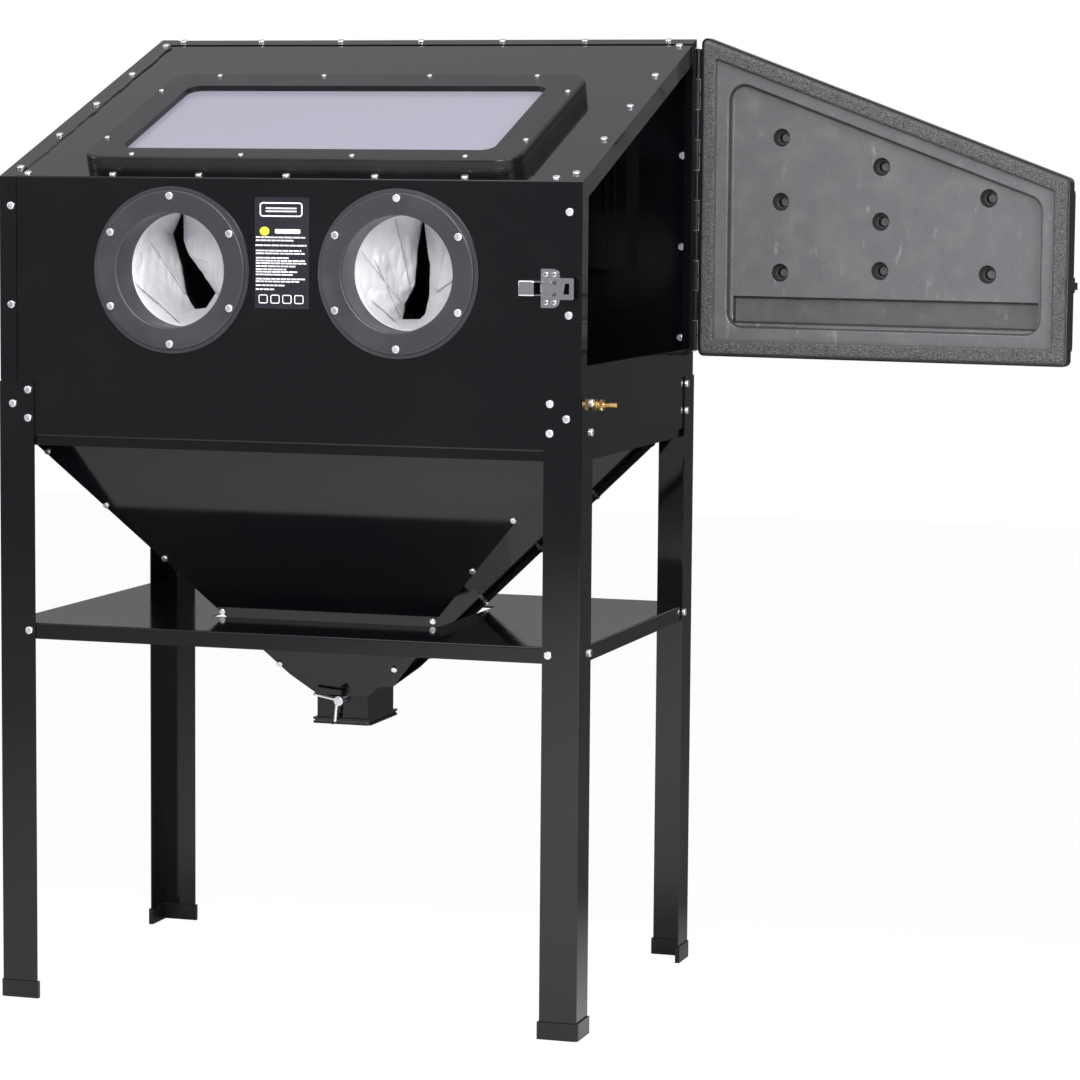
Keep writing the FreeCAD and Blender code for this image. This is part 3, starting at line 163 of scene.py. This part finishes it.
scene = bpy.context.scene
scene.view_settings.view_transform = "Standard"
scene.view_settings.look = "None"


def soft_box(name, place, target, size, power):
    deselect()
    bpy.ops.object.light_add(type="AREA", location=place)
    lamp = bpy.context.object
    lamp.name = name
    lamp.data.shape = "RECTANGLE"
    lamp.data.size, lamp.data.size_y = size
    lamp.data.energy = power
    aim = Vector(target) - Vector(place)
    lamp.rotation_euler = aim.to_track_quat("-Z", "Y").to_euler()


middle = Vector((0, 0, 1.0))
soft_box("overhead_box", (0.3, -0.8, 4.2), middle, (3.5, 2.5), 60)
soft_box("front_box", (1.2, -6.0, 3.4), Vector((0.1, 0, 1.1)), (2.4, 1.6), 300)
soft_box("right_box", (4.2, -3.2, 2.6), middle, (1.6, 2.6), 90)
soft_box("left_box", (-4.4, -2.4, 2.2), middle, (1.4, 2.6), 50)

CAMERA_PLACE = (1.89378, -5.16769, 1.22123)
CAMERA_TURN, CAMERA_DIP, CAMERA_ROLL = 17.25, -5.756, 0.471     # degrees
SENSOR_WIDTH, LENS = 36, 122.56                                 # millimetres
turn, dip, roll = (math.radians(a) for a in (CAMERA_TURN, CAMERA_DIP, CAMERA_ROLL))
ahead = Vector((-math.sin(turn) * math.cos(dip), math.cos(turn) * math.cos(dip), math.sin(dip)))
across = Vector((math.cos(turn), math.sin(turn), 0))
up = across.cross(ahead)
right = across * math.cos(roll) + up * math.sin(roll)
top = up * math.cos(roll) - across * math.sin(roll)
deselect()
bpy.ops.object.camera_add(location=CAMERA_PLACE)
camera = bpy.context.object
camera.name = "studio_camera"
camera.rotation_euler = Matrix((right, top, -ahead)).transposed().to_euler()
camera.data.sensor_width = SENSOR_WIDTH
camera.data.lens = LENS
camera.data.clip_end = 200
scene.camera = camera

# ---------------------------------------------------------------- powder-coated sheet
# Body panels, roof, hopper, legs and shelf are folded 1.5 mm steel in one gloss black powder
# coat with a faint orange-peel waviness. Its two groups, surface waviness and handling
# marks in the gloss, are placed again by the later finishes with their own values.


def new_group(name, numbers, outputs):
    group = bpy.data.node_groups.new(name, "ShaderNodeTree")
    for label, value in numbers.items():
        socket = group.interface.new_socket(label, in_out="INPUT", socket_type="NodeSocketFloat")
        socket.default_value = value
    for label, kind in outputs.items():
        group.interface.new_socket(label, in_out="OUTPUT", socket_type=kind)
    return group, group.nodes.new("NodeGroupInput"), group.nodes.new("NodeGroupOutput")


def noise_node(tree, vector, scale, detail=2.0, roughness=0.5):
    node = tree.nodes.new("ShaderNodeTexNoise")
    node.inputs["Detail"].default_value = detail
    node.inputs["Roughness"].default_value = roughness
    tree.links.new(vector, node.inputs["Vector"])
    if isinstance(scale, (int, float)):
        node.inputs["Scale"].default_value = scale
    else:
        tree.links.new(scale, node.inputs["Scale"])
    return node.outputs["Fac"]


ripple, given, put = new_group("surface_ripple", {"Scale": 300.0, "Depth": 0.1},
                               {"Normal": "NodeSocketVector"})
place = ripple.nodes.new("ShaderNodeTexCoord").outputs["Object"]
bump = ripple.nodes.new("ShaderNodeBump")
bump.inputs["Distance"].default_value = 0.0004
ripple.links.new(given.outputs["Depth"], bump.inputs["Strength"])
ripple.links.new(noise_node(ripple, place, given.outputs["Scale"], 3.0), bump.inputs["Height"])
ripple.links.new(bump.outputs[0], put.inputs["Normal"])

handling, given, put = new_group("handling_marks", {"Smooth": 0.1, "Dull": 0.3, "Scale": 6.0},
                                 {"Roughness": "NodeSocketFloat", "Mask": "NodeSocketFloat"})
place = handling.nodes.new("ShaderNodeTexCoord").outputs["Object"]
cloud = noise_node(handling, place, given.outputs["Scale"], 6.0, 0.6)
smear = handling.nodes.new("ShaderNodeMapRange")
smear.inputs["From Min"].default_value = 0.42
smear.inputs["From Max"].default_value = 0.72
handling.links.new(cloud, smear.inputs["Value"])
handling.links.new(given.outputs["Smooth"], smear.inputs["To Min"])
handling.links.new(given.outputs["Dull"], smear.inputs["To Max"])
handling.links.new(smear.outputs[0], put.inputs["Roughness"])
mask = handling.nodes.new("ShaderNodeMapRange")
mask.inputs["From Min"].default_value = 0.5
mask.inputs["From Max"].default_value = 0.8
handling.links.new(cloud, mask.inputs["Value"])
handling.links.new(mask.outputs[0], put.inputs["Mask"])


def place_group(tree, group, **numbers):
    node = tree.nodes.new("ShaderNodeGroup")
    node.node_tree = group
    for label, value in numbers.items():
        node.inputs[label].default_value = value
    return node


def textured(name, colour, smooth, dull, marks=6.0, ripple_scale=300.0, ripple_depth=0.1,
             metallic=0.0, second=None):
    """A finish with handling marks in its gloss, a fine ripple and a second, marked colour."""
    material, tree, shader = new_material(name, colour, smooth, metallic)
    worn = place_group(tree, handling, Smooth=smooth, Dull=dull, Scale=marks)
    wave = place_group(tree, ripple, Scale=ripple_scale, Depth=ripple_depth)
    tree.links.new(worn.outputs["Roughness"], shader.inputs["Roughness"])
    tree.links.new(wave.outputs["Normal"], shader.inputs["Normal"])
    if second:
        blend = tree.nodes.new("ShaderNodeMix")
        blend.data_type = "RGBA"
        blend.inputs["A"].default_value = (*colour, 1)
        blend.inputs["B"].default_value = (*second, 1)
        tree.links.new(worn.outputs["Mask"], blend.inputs["Factor"])
        tree.links.new(blend.outputs["Result"], shader.inputs["Base Color"])
    return material


def shader_of(material):
    return material.node_tree.nodes["Principled BSDF"]


def dress(material, *names):
    """Give CAD nodes a finish."""
    for name in names:
        mesh = nodes[name].data
        mesh.materials.clear()
        mesh.materials.append(material)


gloss_black = textured("gloss_black_coat", (0.0035, 0.0035, 0.0048), 0.07, 0.14,
                       marks=3.0, ripple_scale=120.0, ripple_depth=0.03,
                       second=(0.006, 0.006, 0.007))
shader_of(gloss_black).inputs["IOR"].default_value = 1.5
dress(gloss_black, "front_panel", "rear_panel", "left_side_panel", "right_side_panel",
      "roof_panel", "base_frame", "hopper_front", "hopper_rear", "hopper_left", "hopper_right",
      "outlet_box", "dump_door", "shelf", "exhaust_spigot", "exhaust_baffle", "gun_hook",
      "light_housing", "leg_front_left", "leg_front_right", "leg_rear_left", "leg_rear_right",
      "work_grate")

# ---------------------------------------------------------------- black mouldings
# The window frame, the port rings and the leg shoes are injection-moulded black plastic
# with a fine grain, a little greyer and duller than the sheet.
moulded_black = textured("moulded_black", (0.034, 0.034, 0.038), 0.30, 0.44,
                         marks=9.0, ripple_scale=1400.0, ripple_depth=0.22,
                         second=(0.05, 0.05, 0.055))
dress(moulded_black, "port_ring_left", "port_ring_right")
frame_black = textured("frame_black", (0.007, 0.007, 0.008), 0.26, 0.38,
                       marks=9.0, ripple_scale=1400.0, ripple_depth=0.20,
                       second=(0.014, 0.014, 0.016))
shader_of(frame_black).inputs["Specular IOR Level"].default_value = 0.38
dress(frame_black, "window_base_frame", "window_top_frame", "foot_front_left",
      "foot_front_right", "foot_rear_left", "foot_rear_right")

# ---------------------------------------------------------------- window pane
# Clear acrylic under a tear-off film that has gone a little milky, so it shows the
# light from above and hides the dark inside.
film = textured("filmed_acrylic", (0.40, 0.385, 0.475), 0.16, 0.30, marks=4.0,
                ripple_scale=60.0, ripple_depth=0.03)
shader_of(film).inputs["Transmission Weight"].default_value = 0.30
shader_of(film).inputs["IOR"].default_value = 1.49
dress(film, "window_pane")

# ---------------------------------------------------------------- fasteners
# Zinc-plated bolts and screws: bright, slightly cloudy plating. The hinge pin, the dump
# door's rod and pins and the glove bands are plated the same way.
zinc = textured("zinc_plate", (0.93, 0.94, 0.96), 0.28, 0.45, marks=60.0,
                ripple_scale=900.0, ripple_depth=0.12, metallic=1.0,
                second=(0.84, 0.85, 0.88))
dress(zinc, "panel_bolts", "port_bolts", "window_screws", "leg_bolts", "hopper_bolts",
      "dump_pins", "dump_lever", "hinge_pin", "glove_clamps")

# ---------------------------------------------------------------- toggle latch
# A pressed and cast latch in bright chrome on the front panel.
chrome = textured("latch_chrome", (0.88, 0.89, 0.91), 0.05, 0.14, marks=40.0,
                  ripple_scale=400.0, ripple_depth=0.05, metallic=1.0)
dress(chrome, "latch_base", "latch_lever", "latch_claw", "latch_claw_pin")

# ---------------------------------------------------------------- air inlet
# A turned brass hose tail with its two lock nuts.
brass = textured("turned_brass", (0.72, 0.50, 0.20), 0.18, 0.34, marks=80.0,
                 ripple_scale=700.0, ripple_depth=0.08, metallic=1.0,
                 second=(0.58, 0.40, 0.17))
dress(brass, "air_inlet")

# ---------------------------------------------------------------- door
# A satin black steel tray, keeper and hinge leaves, a mid-grey moulded lining with painted shade
# in its recesses, painted highlight bands at their edges, rubbed on its face, and a seal of
# speckled open-cell foam.
satin_black = textured("door_tray_coat", (0.010, 0.010, 0.012), 0.18, 0.30,
                       marks=5.0, ripple_scale=500.0, ripple_depth=0.12)
dress(satin_black, "door_shell", "door_keeper", "hinge_leaf_body", "hinge_leaf_door")
door_grey = textured("door_moulding", (0.135, 0.134, 0.141), 0.27, 0.42,
                     marks=26.0, ripple_scale=900.0, ripple_depth=0.10,
                     second=(0.165, 0.165, 0.17))
tree, shader = door_grey.node_tree, shader_of(door_grey)
DOOR_OPEN = math.radians(81.5)
DOOR_HINGE = Vector((441.8, 303.5, 0)) * MM
INNER_FACE = 440.5 * MM     # the closed door's inner face from the middle of the cabinet
RAMP_DEPTH = 50             # millimetres of door depth that the painted shade ramp covers
place = tree.nodes.new("ShaderNodeTexCoord").outputs["Object"]
depth_axis = Vector((math.cos(DOOR_OPEN), math.sin(DOOR_OPEN), 0))
along_depth = tree.nodes.new("ShaderNodeVectorMath")
along_depth.operation = "DOT_PRODUCT"
along_depth.inputs[1].default_value = depth_axis
tree.links.new(place, along_depth.inputs[0])
sunk = tree.nodes.new("ShaderNodeMapRange")
start = depth_axis.dot(DOOR_HINGE) + INNER_FACE - DOOR_HINGE.x
sunk.inputs["From Min"].default_value = start
sunk.inputs["From Max"].default_value = start + RAMP_DEPTH * MM
tree.links.new(along_depth.outputs["Value"], sunk.inputs["Value"])
recess_shade = tree.nodes.new("ShaderNodeValToRGB")
# Each pair is a depth past the closed door's inner face, in millimetres, and the painted tone
# there: dark down the recess walls and trough, light bands as painted highlights.
RECESS_SHADE = ((8.8, 1.0), (10.5, 0.42), (19.5, 0.30), (21.2, 1.0), (21.8, 1.0), (22.6, 0.16),
         (31.0, 0.28), (33.2, 0.80), (35.0, 0.07), (39.6, 0.04), (40.4, 0.85))
while len(recess_shade.color_ramp.elements) < len(RECESS_SHADE):
    recess_shade.color_ramp.elements.new(0.5)
for element, (depth, tone) in zip(recess_shade.color_ramp.elements, RECESS_SHADE):
    element.position = depth / RAMP_DEPTH
    element.color = (tone, tone, tone, 1)
tree.links.new(sunk.outputs[0], recess_shade.inputs[0])
scuff_shape = tree.nodes.new("ShaderNodeMapping")
scuff_shape.inputs["Scale"].default_value = (70, 70, 28)
tree.links.new(place, scuff_shape.inputs[0])
scuff = tree.nodes.new("ShaderNodeMapRange")
scuff.inputs["From Min"].default_value = 0.60
scuff.inputs["From Max"].default_value = 0.78
scuff.inputs["To Max"].default_value = 0.55
tree.links.new(noise_node(tree, scuff_shape.outputs[0], 1.0, 8.0, 0.68), scuff.inputs["Value"])
rubbed = tree.nodes.new("ShaderNodeMix")
rubbed.data_type = "RGBA"
rubbed.inputs["B"].default_value = (0.42, 0.42, 0.43, 1)
tree.links.new(scuff.outputs[0], rubbed.inputs["Factor"])
tree.links.new(shader.inputs["Base Color"].links[0].from_socket, rubbed.inputs["A"])
# The lining colour is multiplied by the painted shade and highlight ramp of the recesses.
recess_shaded = tree.nodes.new("ShaderNodeMix")
recess_shaded.data_type = "RGBA"
recess_shaded.blend_type = "MULTIPLY"
recess_shaded.inputs["Factor"].default_value = 1.0
tree.links.new(rubbed.outputs["Result"], recess_shaded.inputs["A"])
tree.links.new(recess_shade.outputs["Color"], recess_shaded.inputs["B"])
tree.links.new(recess_shaded.outputs["Result"], shader.inputs["Base Color"])
dress(door_grey, "door_panel")
foam = textured("seal_foam", (0.05, 0.05, 0.052), 0.9, 0.98, marks=30.0,
                ripple_scale=1200.0, ripple_depth=0.9)
tree, shader = foam.node_tree, shader_of(foam)
place = tree.nodes.new("ShaderNodeTexCoord").outputs["Object"]
speck = noise_node(tree, place, 650.0, 3.0, 0.7)
shade = tree.nodes.new("ShaderNodeValToRGB")
shade.color_ramp.elements[0].position = 0.42
shade.color_ramp.elements[0].color = (0.020, 0.020, 0.021, 1)
shade.color_ramp.elements[1].position = 0.64
shade.color_ramp.elements[1].color = (0.17, 0.17, 0.175, 1)
tree.links.new(speck, shade.inputs[0])
tree.links.new(shade.outputs["Color"], shader.inputs["Base Color"])
dress(foam, "door_seal", "dump_seal")

# ---------------------------------------------------------------- inside fittings
# The light's frosted cover, the cast blast gun with its ceramic nozzle, and the pickup tube.
frosted = textured("frosted_cover", (0.82, 0.82, 0.80), 0.45, 0.6, marks=20.0)
dress(frosted, "light_diffuser")
cast_metal = textured("cast_aluminium", (0.56, 0.57, 0.58), 0.35, 0.55,
                      marks=30.0, ripple_scale=500.0, ripple_depth=0.3,
                      metallic=1.0)
dress(cast_metal, "gun_body", "gun_trigger")
ceramic = textured("nozzle_ceramic", (0.78, 0.76, 0.70), 0.28, 0.45, marks=50.0)
dress(ceramic, "gun_nozzle")
pipe = textured("pickup_pipe", (0.03, 0.03, 0.032), 0.4, 0.6, marks=20.0)
dress(pipe, "pickup_tube")

# ---------------------------------------------------------------- label
# A thin printed plate between the ports: a blank dark ground with a plain outlined box, a
# colour dot, rows of short light lines and a row of plain squares, all printed in relief.
plain_label = textured("plain_label", (0.017, 0.016, 0.023), 0.24, 0.36,
                       marks=15.0, ripple_scale=700.0, ripple_depth=0.06)
dress(plain_label, "label_plate")
print_white = textured("label_print", (0.86, 0.86, 0.88), 0.45, 0.6, marks=200.0,
                       ripple_scale=1500.0, ripple_depth=0.1,
                       second=(0.70, 0.70, 0.73))
print_yellow = textured("label_dot", (0.70, 0.80, 0.05), 0.45, 0.6, marks=200.0,
                        ripple_scale=1500.0, ripple_depth=0.1)
plate_low, plate_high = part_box("label_plate")
plate_width, plate_height = plate_high.x - plate_low.x, plate_high.z - plate_low.z
PRINT_HEIGHT = 0.12 * MM


def printed_patch(left, right, bottom, top, vertices=4, hollow=0.0):
    """A patch of print; its edges are shares of the plate's width and height."""
    deselect()
    x0, x1 = (plate_low.x + plate_width * share for share in (left, right))
    z0, z1 = (plate_low.z + plate_height * share for share in (bottom, top))
    start = math.pi / 4 if vertices == 4 else 0.0
    radius = 0.5 ** 0.5 if vertices == 4 else 0.5
    bpy.ops.mesh.primitive_circle_add(vertices=vertices, radius=radius, fill_type="NGON")
    patch = bpy.context.object
    patch.rotation_euler = (0, 0, start)
    bpy.ops.object.transform_apply(location=False, rotation=True, scale=False)
    patch.scale = (x1 - x0, z1 - z0, 1)
    bpy.ops.object.transform_apply(location=False, rotation=False, scale=True)
    bpy.ops.object.mode_set(mode="EDIT")
    bpy.ops.mesh.select_all(action="SELECT")
    if vertices == 4:
        bpy.ops.mesh.bevel(offset=min(x1 - x0, z1 - z0) * 0.22, segments=3, affect="VERTICES")
        bpy.ops.mesh.select_all(action="SELECT")
    if hollow:
        bpy.ops.mesh.inset(thickness=hollow)
        bpy.ops.mesh.delete(type="FACE")
        bpy.ops.mesh.select_all(action="SELECT")
    bpy.ops.mesh.extrude_region_move(TRANSFORM_OT_translate={"value": (0, 0, PRINT_HEIGHT)})
    bpy.ops.mesh.select_all(action="SELECT")
    bpy.ops.mesh.normals_make_consistent(inside=False)
    bpy.ops.object.mode_set(mode="OBJECT")
    patch.rotation_euler = (math.pi / 2, 0, 0)
    patch.location = ((x0 + x1) / 2, plate_low.y + 0.01 * MM, (z0 + z1) / 2)
    bpy.ops.object.transform_apply(location=True, rotation=True, scale=True)
    return patch


def joined(parts, name, material):
    deselect()
    for part in parts:
        part.select_set(True)
    bpy.context.view_layer.objects.active = parts[0]
    bpy.ops.object.join()
    whole = bpy.context.object
    whole.name = name
    whole.data.materials.clear()
    whole.data.materials.append(material)
    return whole


# Height of each line of print, then its left and right ends, in shares of the plate.
LINE_BLOCKS = ((0.640, (0.02, 0.93)), (0.612, (0.02, 0.74)), (0.568, (0.01, 0.955)),
               (0.520, (0.02, 0.86)), (0.495, (0.02, 0.92)), (0.455, (0.02, 0.63)),
               (0.430, (0.02, 0.95)), (0.407, (0.02, 0.95)), (0.380, (0.02, 0.75)),
               (0.352, (0.02, 0.61)), (0.330, (0.02, 0.80)), (0.305, (0.02, 0.70)),
               (0.266, (0.02, 0.94)), (0.243, (0.02, 0.82)), (0.208, (0.02, 0.55)),
               (0.172, (0.02, 0.38)))
patches = [printed_patch(0.09, 0.88, 0.825, 0.955, hollow=2.0 * MM),
           printed_patch(0.37, 0.84, 0.675, 0.715)]
for row in (0.868, 0.895):
    patches.append(printed_patch(0.20, 0.77, row, row + 0.013))
dice = random.Random(4)
for row, (left, right) in LINE_BLOCKS:
    edge = left
    while edge < right - 0.02:
        word = min(right, edge + dice.uniform(0.05, 0.16))
        patches.append(printed_patch(edge, word, row - 0.006, row + 0.007))
        edge = word + 0.012
for i in range(4):
    left = 0.07 + i * 0.22
    patches.append(printed_patch(left, left + 0.17, 0.045, 0.125, hollow=1.3 * MM))
label_print = joined(patches, "label_print", print_white)
label_dot = joined([printed_patch(0.09, 0.27, 0.655, 0.735, vertices=20)], "label_dot",
                   print_yellow)
for piece in (label_print, label_dot):
    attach(piece, "cabinet")

# ---------------------------------------------------------------- roof sealant
# A hand-run bead of black sealant along the edge of the left side's fold over the roof. Its
# width wanders and it has dabs where the gun stopped.
bead_black = textured("sealant_black", (0.006, 0.006, 0.007), 0.10, 0.24,
                      marks=30.0, ripple_scale=260.0, ripple_depth=0.25)
side_low, side_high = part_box("left_side_panel")
roof_low, roof_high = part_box("roof_panel")
roof_slope = math.atan2(roof_high.z - roof_low.z, roof_high.y - roof_low.y)
deselect()
BEAD_LENGTH = 560 * MM
bpy.ops.mesh.primitive_cylinder_add(vertices=14, radius=2.4 * MM, depth=BEAD_LENGTH,
                                    rotation=(math.pi / 2, 0, 0))
bead = bpy.context.object
bead.name = "roof_sealant"
bpy.ops.object.transform_apply(location=True, rotation=True, scale=True)
bpy.ops.object.mode_set(mode="EDIT")
bpy.ops.mesh.select_all(action="DESELECT")
bpy.ops.object.mode_set(mode="OBJECT")
for edge in bead.data.edges:
    ends = [bead.data.vertices[v].co.y for v in edge.vertices]
    edge.select = abs(ends[0] - ends[1]) > 0.1
bpy.ops.object.mode_set(mode="EDIT")
bpy.ops.mesh.subdivide(number_cuts=220)
bpy.ops.object.mode_set(mode="OBJECT")
for vertex in bead.data.vertices:
    along = vertex.co.y
    swell = 1 + 0.45 * noise.noise(Vector((along * 45, 3.1, 0.0)))
    swell += 0.9 * max(0.0, noise.noise(Vector((along * 14, 7.7, 0.0))) - 0.25)
    wander = 1.6 * MM * noise.noise(Vector((along * 22, 0.0, 5.3)))
    vertex.co.x = vertex.co.x * 1.35 * swell + wander
    vertex.co.z = vertex.co.z * 0.6 * swell
bead.rotation_euler = (roof_slope, 0, 0)
fold_edge = side_low.x + 26.5 * MM
bead.location = (fold_edge, (roof_low.y + roof_high.y) / 2,
                 (roof_low.z + roof_high.z) / 2 + 1.3 * MM)
bpy.ops.object.transform_apply(location=True, rotation=True, scale=True)
bpy.ops.object.shade_smooth()
bead.data.materials.append(bead_black)
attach(bead, "cabinet")

# ---------------------------------------------------------------- gloves
# Silver-coated cloth sleeves, clamped on the ports' collars. Each hangs in flattened: its
# facets run from the cuff to an upright gap, with crisp pleats, and the hand hangs behind in a
# near-black finish that is painted shade darkening the gap.
cloth = textured("silver_cloth", (0.80, 0.805, 0.83), 0.36, 0.52, marks=18.0,
                 ripple_scale=2200.0, ripple_depth=0.30,
                 second=(0.68, 0.68, 0.71))
shader_of(cloth).inputs["Sheen Weight"].default_value = 0.2
shader_of(cloth).inputs["Metallic"].default_value = 0.15
# Near-black painted shade for the hand behind the gap, so the gap reads dark.
gap_shade_black = textured("gap_shade_black", (0.006, 0.006, 0.007), 0.5, 0.7,
                       marks=20.0, ripple_scale=800.0, ripple_depth=0.25)
SLEEVE_LEAN = 0.36          # sideways lean of the sleeves to the left, over their depth
CUFF_RADIUS = 86.3 * MM
CUFF_LAP = 40 * MM          # how far the cuff reaches over the port's collar
WEDGE_DEPTH = 92 * MM       # from the mouth back to the flattened gap
HAND_DROP = 92 * MM
CLOTH_THICKNESS = 1.0 * MM
SHARP_FOLD = math.radians(32)


def eased(t):
    t = min(max(t, 0.0), 1.0)
    return t * t * (3 - 2 * t)


# The gap's outline seen from the operator, in shares of the port's radius, with the angle
# round the cuff, in degrees, that each of its corners is drawn from.
GAP_LEFT = ((-0.13, 0.96, 98), (-0.31, 0.58, 128), (-0.16, 0.05, 172), (-0.05, -0.48, 214),
            (0.11, -0.74, 250), (0.34, -0.71, 288), (0.52, -0.44, 325), (0.26, -0.08, 352),
            (0.02, 0.21, 382), (-0.09, 0.46, 412), (-0.09, 0.95, 444))
GAP_RIGHT = ((0.25, 0.92, 80), (0.14, 0.50, 112), (0.08, -0.24, 162), (-0.09, -0.54, 204),
             (-0.13, -0.84, 240), (0.20, -0.83, 278), (0.30, -0.74, 306), (0.38, -0.40, 330),
             (0.385, 0.13, 366), (0.305, 0.58, 402), (0.27, 0.92, 432))
# Pleats: start and end in shares of the radius, width of the lap in shares, height in mm.
PLEATS_LEFT = ((-0.66, 0.46, 0.12, -0.74, 0.34, 13), (-0.95, -0.24, -0.10, -0.95, 0.30, 12),
               (-0.55, 0.85, -0.86, 0.30, 0.16, 3), (0.56, -0.40, 1.0, 0.02, -0.40, 14),
               (0.05, 0.18, 0.40, 0.10, 0.14, 3), (0.30, -0.20, 0.60, -0.28, 0.12, 3))
PLEATS_RIGHT = ((-0.27, 0.95, 0.04, -0.36, -0.26, 9), (-0.93, 0.42, -0.12, -0.58, -0.34, 13),
                (-0.62, 0.20, -0.14, -0.82, 0.22, 8), (-0.68, -0.48, -0.14, -0.94, 0.24, 9),
                (0.70, 0.68, 0.50, -0.34, 0.30, 6), (0.98, 0.02, 0.50, -0.34, -0.26, 8),
                (0.10, 0.92, 0.16, 0.45, 0.16, 6))


def gap_point(gap, angle):
    """Point of the gap's outline that a direction round the cuff is drawn to."""
    corners = list(gap) + [(gap[0][0], gap[0][1], gap[0][2] + 360)]
    while angle < corners[0][2]:
        angle += 360
    while angle > corners[-1][2]:
        angle -= 360
    for (x0, z0, a0), (x1, z1, a1) in zip(corners, corners[1:]):
        if a0 <= angle <= a1:
            share = (angle - a0) / (a1 - a0)
            return x0 + (x1 - x0) * share, z0 + (z1 - z0) * share
    return corners[0][:2]


def pleat_lift(pleats, x, z):
    """How far the laps of cloth stand towards the operator at a point, in millimetres."""
    lift = 0.0
    for x0, z0, x1, z1, width, height in pleats:
        dx, dz = x1 - x0, z1 - z0
        length = math.hypot(dx, dz)
        along = ((x - x0) * dx + (z - z0) * dz) / length ** 2
        aside = ((z - z0) * dx - (x - x0) * dz) / length
        if width < 0:
            aside, width = -aside, -width
        if -0.05 < along < 1.05 and 0 < aside < width:
            fade = eased(min(along + 0.05, 1.05 - along) * 8)
            lift += height * fade * (1 - aside / width)
    return lift


def make_glove(side, gap, pleats):
    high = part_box("glove_" + side)[1]
    ring_low, ring_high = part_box("port_ring_" + side)
    cx, cz = (ring_low.x + ring_high.x) / 2, (ring_low.z + ring_high.z) / 2
    mouth, end = ring_high.y + 1.5 * MM, high.y - 6 * MM
    columns, cuff_rows, wedge_rows, hand_rows = 220, 5, 74, 44
    rows = cuff_rows + wedge_rows + hand_rows
    deselect()
    bpy.ops.mesh.primitive_grid_add(x_subdivisions=columns, y_subdivisions=rows, size=2)
    sleeve = bpy.context.object
    sleeve.name = "sleeve_" + side
    for vertex in sleeve.data.vertices:
        round_share = (vertex.co.x + 1) / 2
        row = round((vertex.co.y + 1) / 2 * rows)
        angle = 360 * round_share
        ax, az = math.cos(math.radians(angle)), math.sin(math.radians(angle))
        gx, gz = gap_point(gap, angle)
        if row <= cuff_rows:
            share = row / cuff_rows
            x, z, radius = ax, az, CUFF_RADIUS
            y = mouth - CUFF_LAP * (1 - share)
        elif row <= cuff_rows + wedge_rows:
            share = (row - cuff_rows) / wedge_rows
            draw = share ** 0.92
            x, z = ax + (gx - ax) * draw, az + (gz - az) * draw
            radius = CUFF_RADIUS - 3 * MM * eased(share * 12)
            sag = 5 * MM * math.sin(math.pi * share)
            y = mouth + WEDGE_DEPTH * share - MM * pleat_lift(pleats, x, z) * eased(share * 6)
            y += sag * noise.noise(Vector((x * 2.2, z * 2.2, 4.0 if side == "left" else 9.0)))
            wrinkle = noise.noise(Vector((x * 7 + 2, z * 3, 1.7)))
            y += 2.2 * MM * eased(share * 4) * (1 - abs(wrinkle) * 2)
        else:
            share = (row - cuff_rows - wedge_rows) / hand_rows
            fill = eased(share * 1.6)
            shut = math.sqrt(max(0.0, 1 - max(0.0, (share - 0.72) / 0.28) ** 2))
            size = (0.50 - 0.06 * math.sin(share * 5)) * shut
            x = gx + (ax * size - gx) * fill
            z = gz + (az * size * 1.1 - gz) * fill
            y = mouth + WEDGE_DEPTH + (end - mouth - WEDGE_DEPTH) * share
            radius = CUFF_RADIUS
            x += shut * 0.02 * noise.noise(Vector((angle * 0.05, share * 5, 3.0)))
        behind = eased((y - mouth - WEDGE_DEPTH) / (end - mouth - WEDGE_DEPTH))
        lean = -SLEEVE_LEAN * max(0.0, min(y - mouth, WEDGE_DEPTH))
        vertex.co = (cx + lean + x * radius, y, cz - HAND_DROP * behind + z * radius)
    bpy.ops.object.mode_set(mode="EDIT")
    bpy.ops.mesh.select_all(action="SELECT")
    bpy.ops.mesh.remove_doubles(threshold=0.02 * MM)
    bpy.ops.mesh.normals_make_consistent(inside=False)
    bpy.ops.object.mode_set(mode="OBJECT")
    wall = sleeve.modifiers.new("wall", "SOLIDIFY")
    wall.thickness = CLOTH_THICKNESS
    wall.offset = 0
    bpy.ops.object.modifier_apply(modifier="wall")
    bpy.ops.object.shade_smooth_by_angle(angle=SHARP_FOLD)
    sleeve.data.materials.append(cloth)
    sleeve.data.materials.append(gap_shade_black)
    for face in sleeve.data.polygons:
        if face.center.y > mouth + WEDGE_DEPTH + 4 * MM:
            face.material_index = 1
    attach(sleeve, "cabinet")
    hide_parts("glove_" + side)


make_glove("left", GAP_LEFT, PLEATS_LEFT)
make_glove("right", GAP_RIGHT, PLEATS_RIGHT)
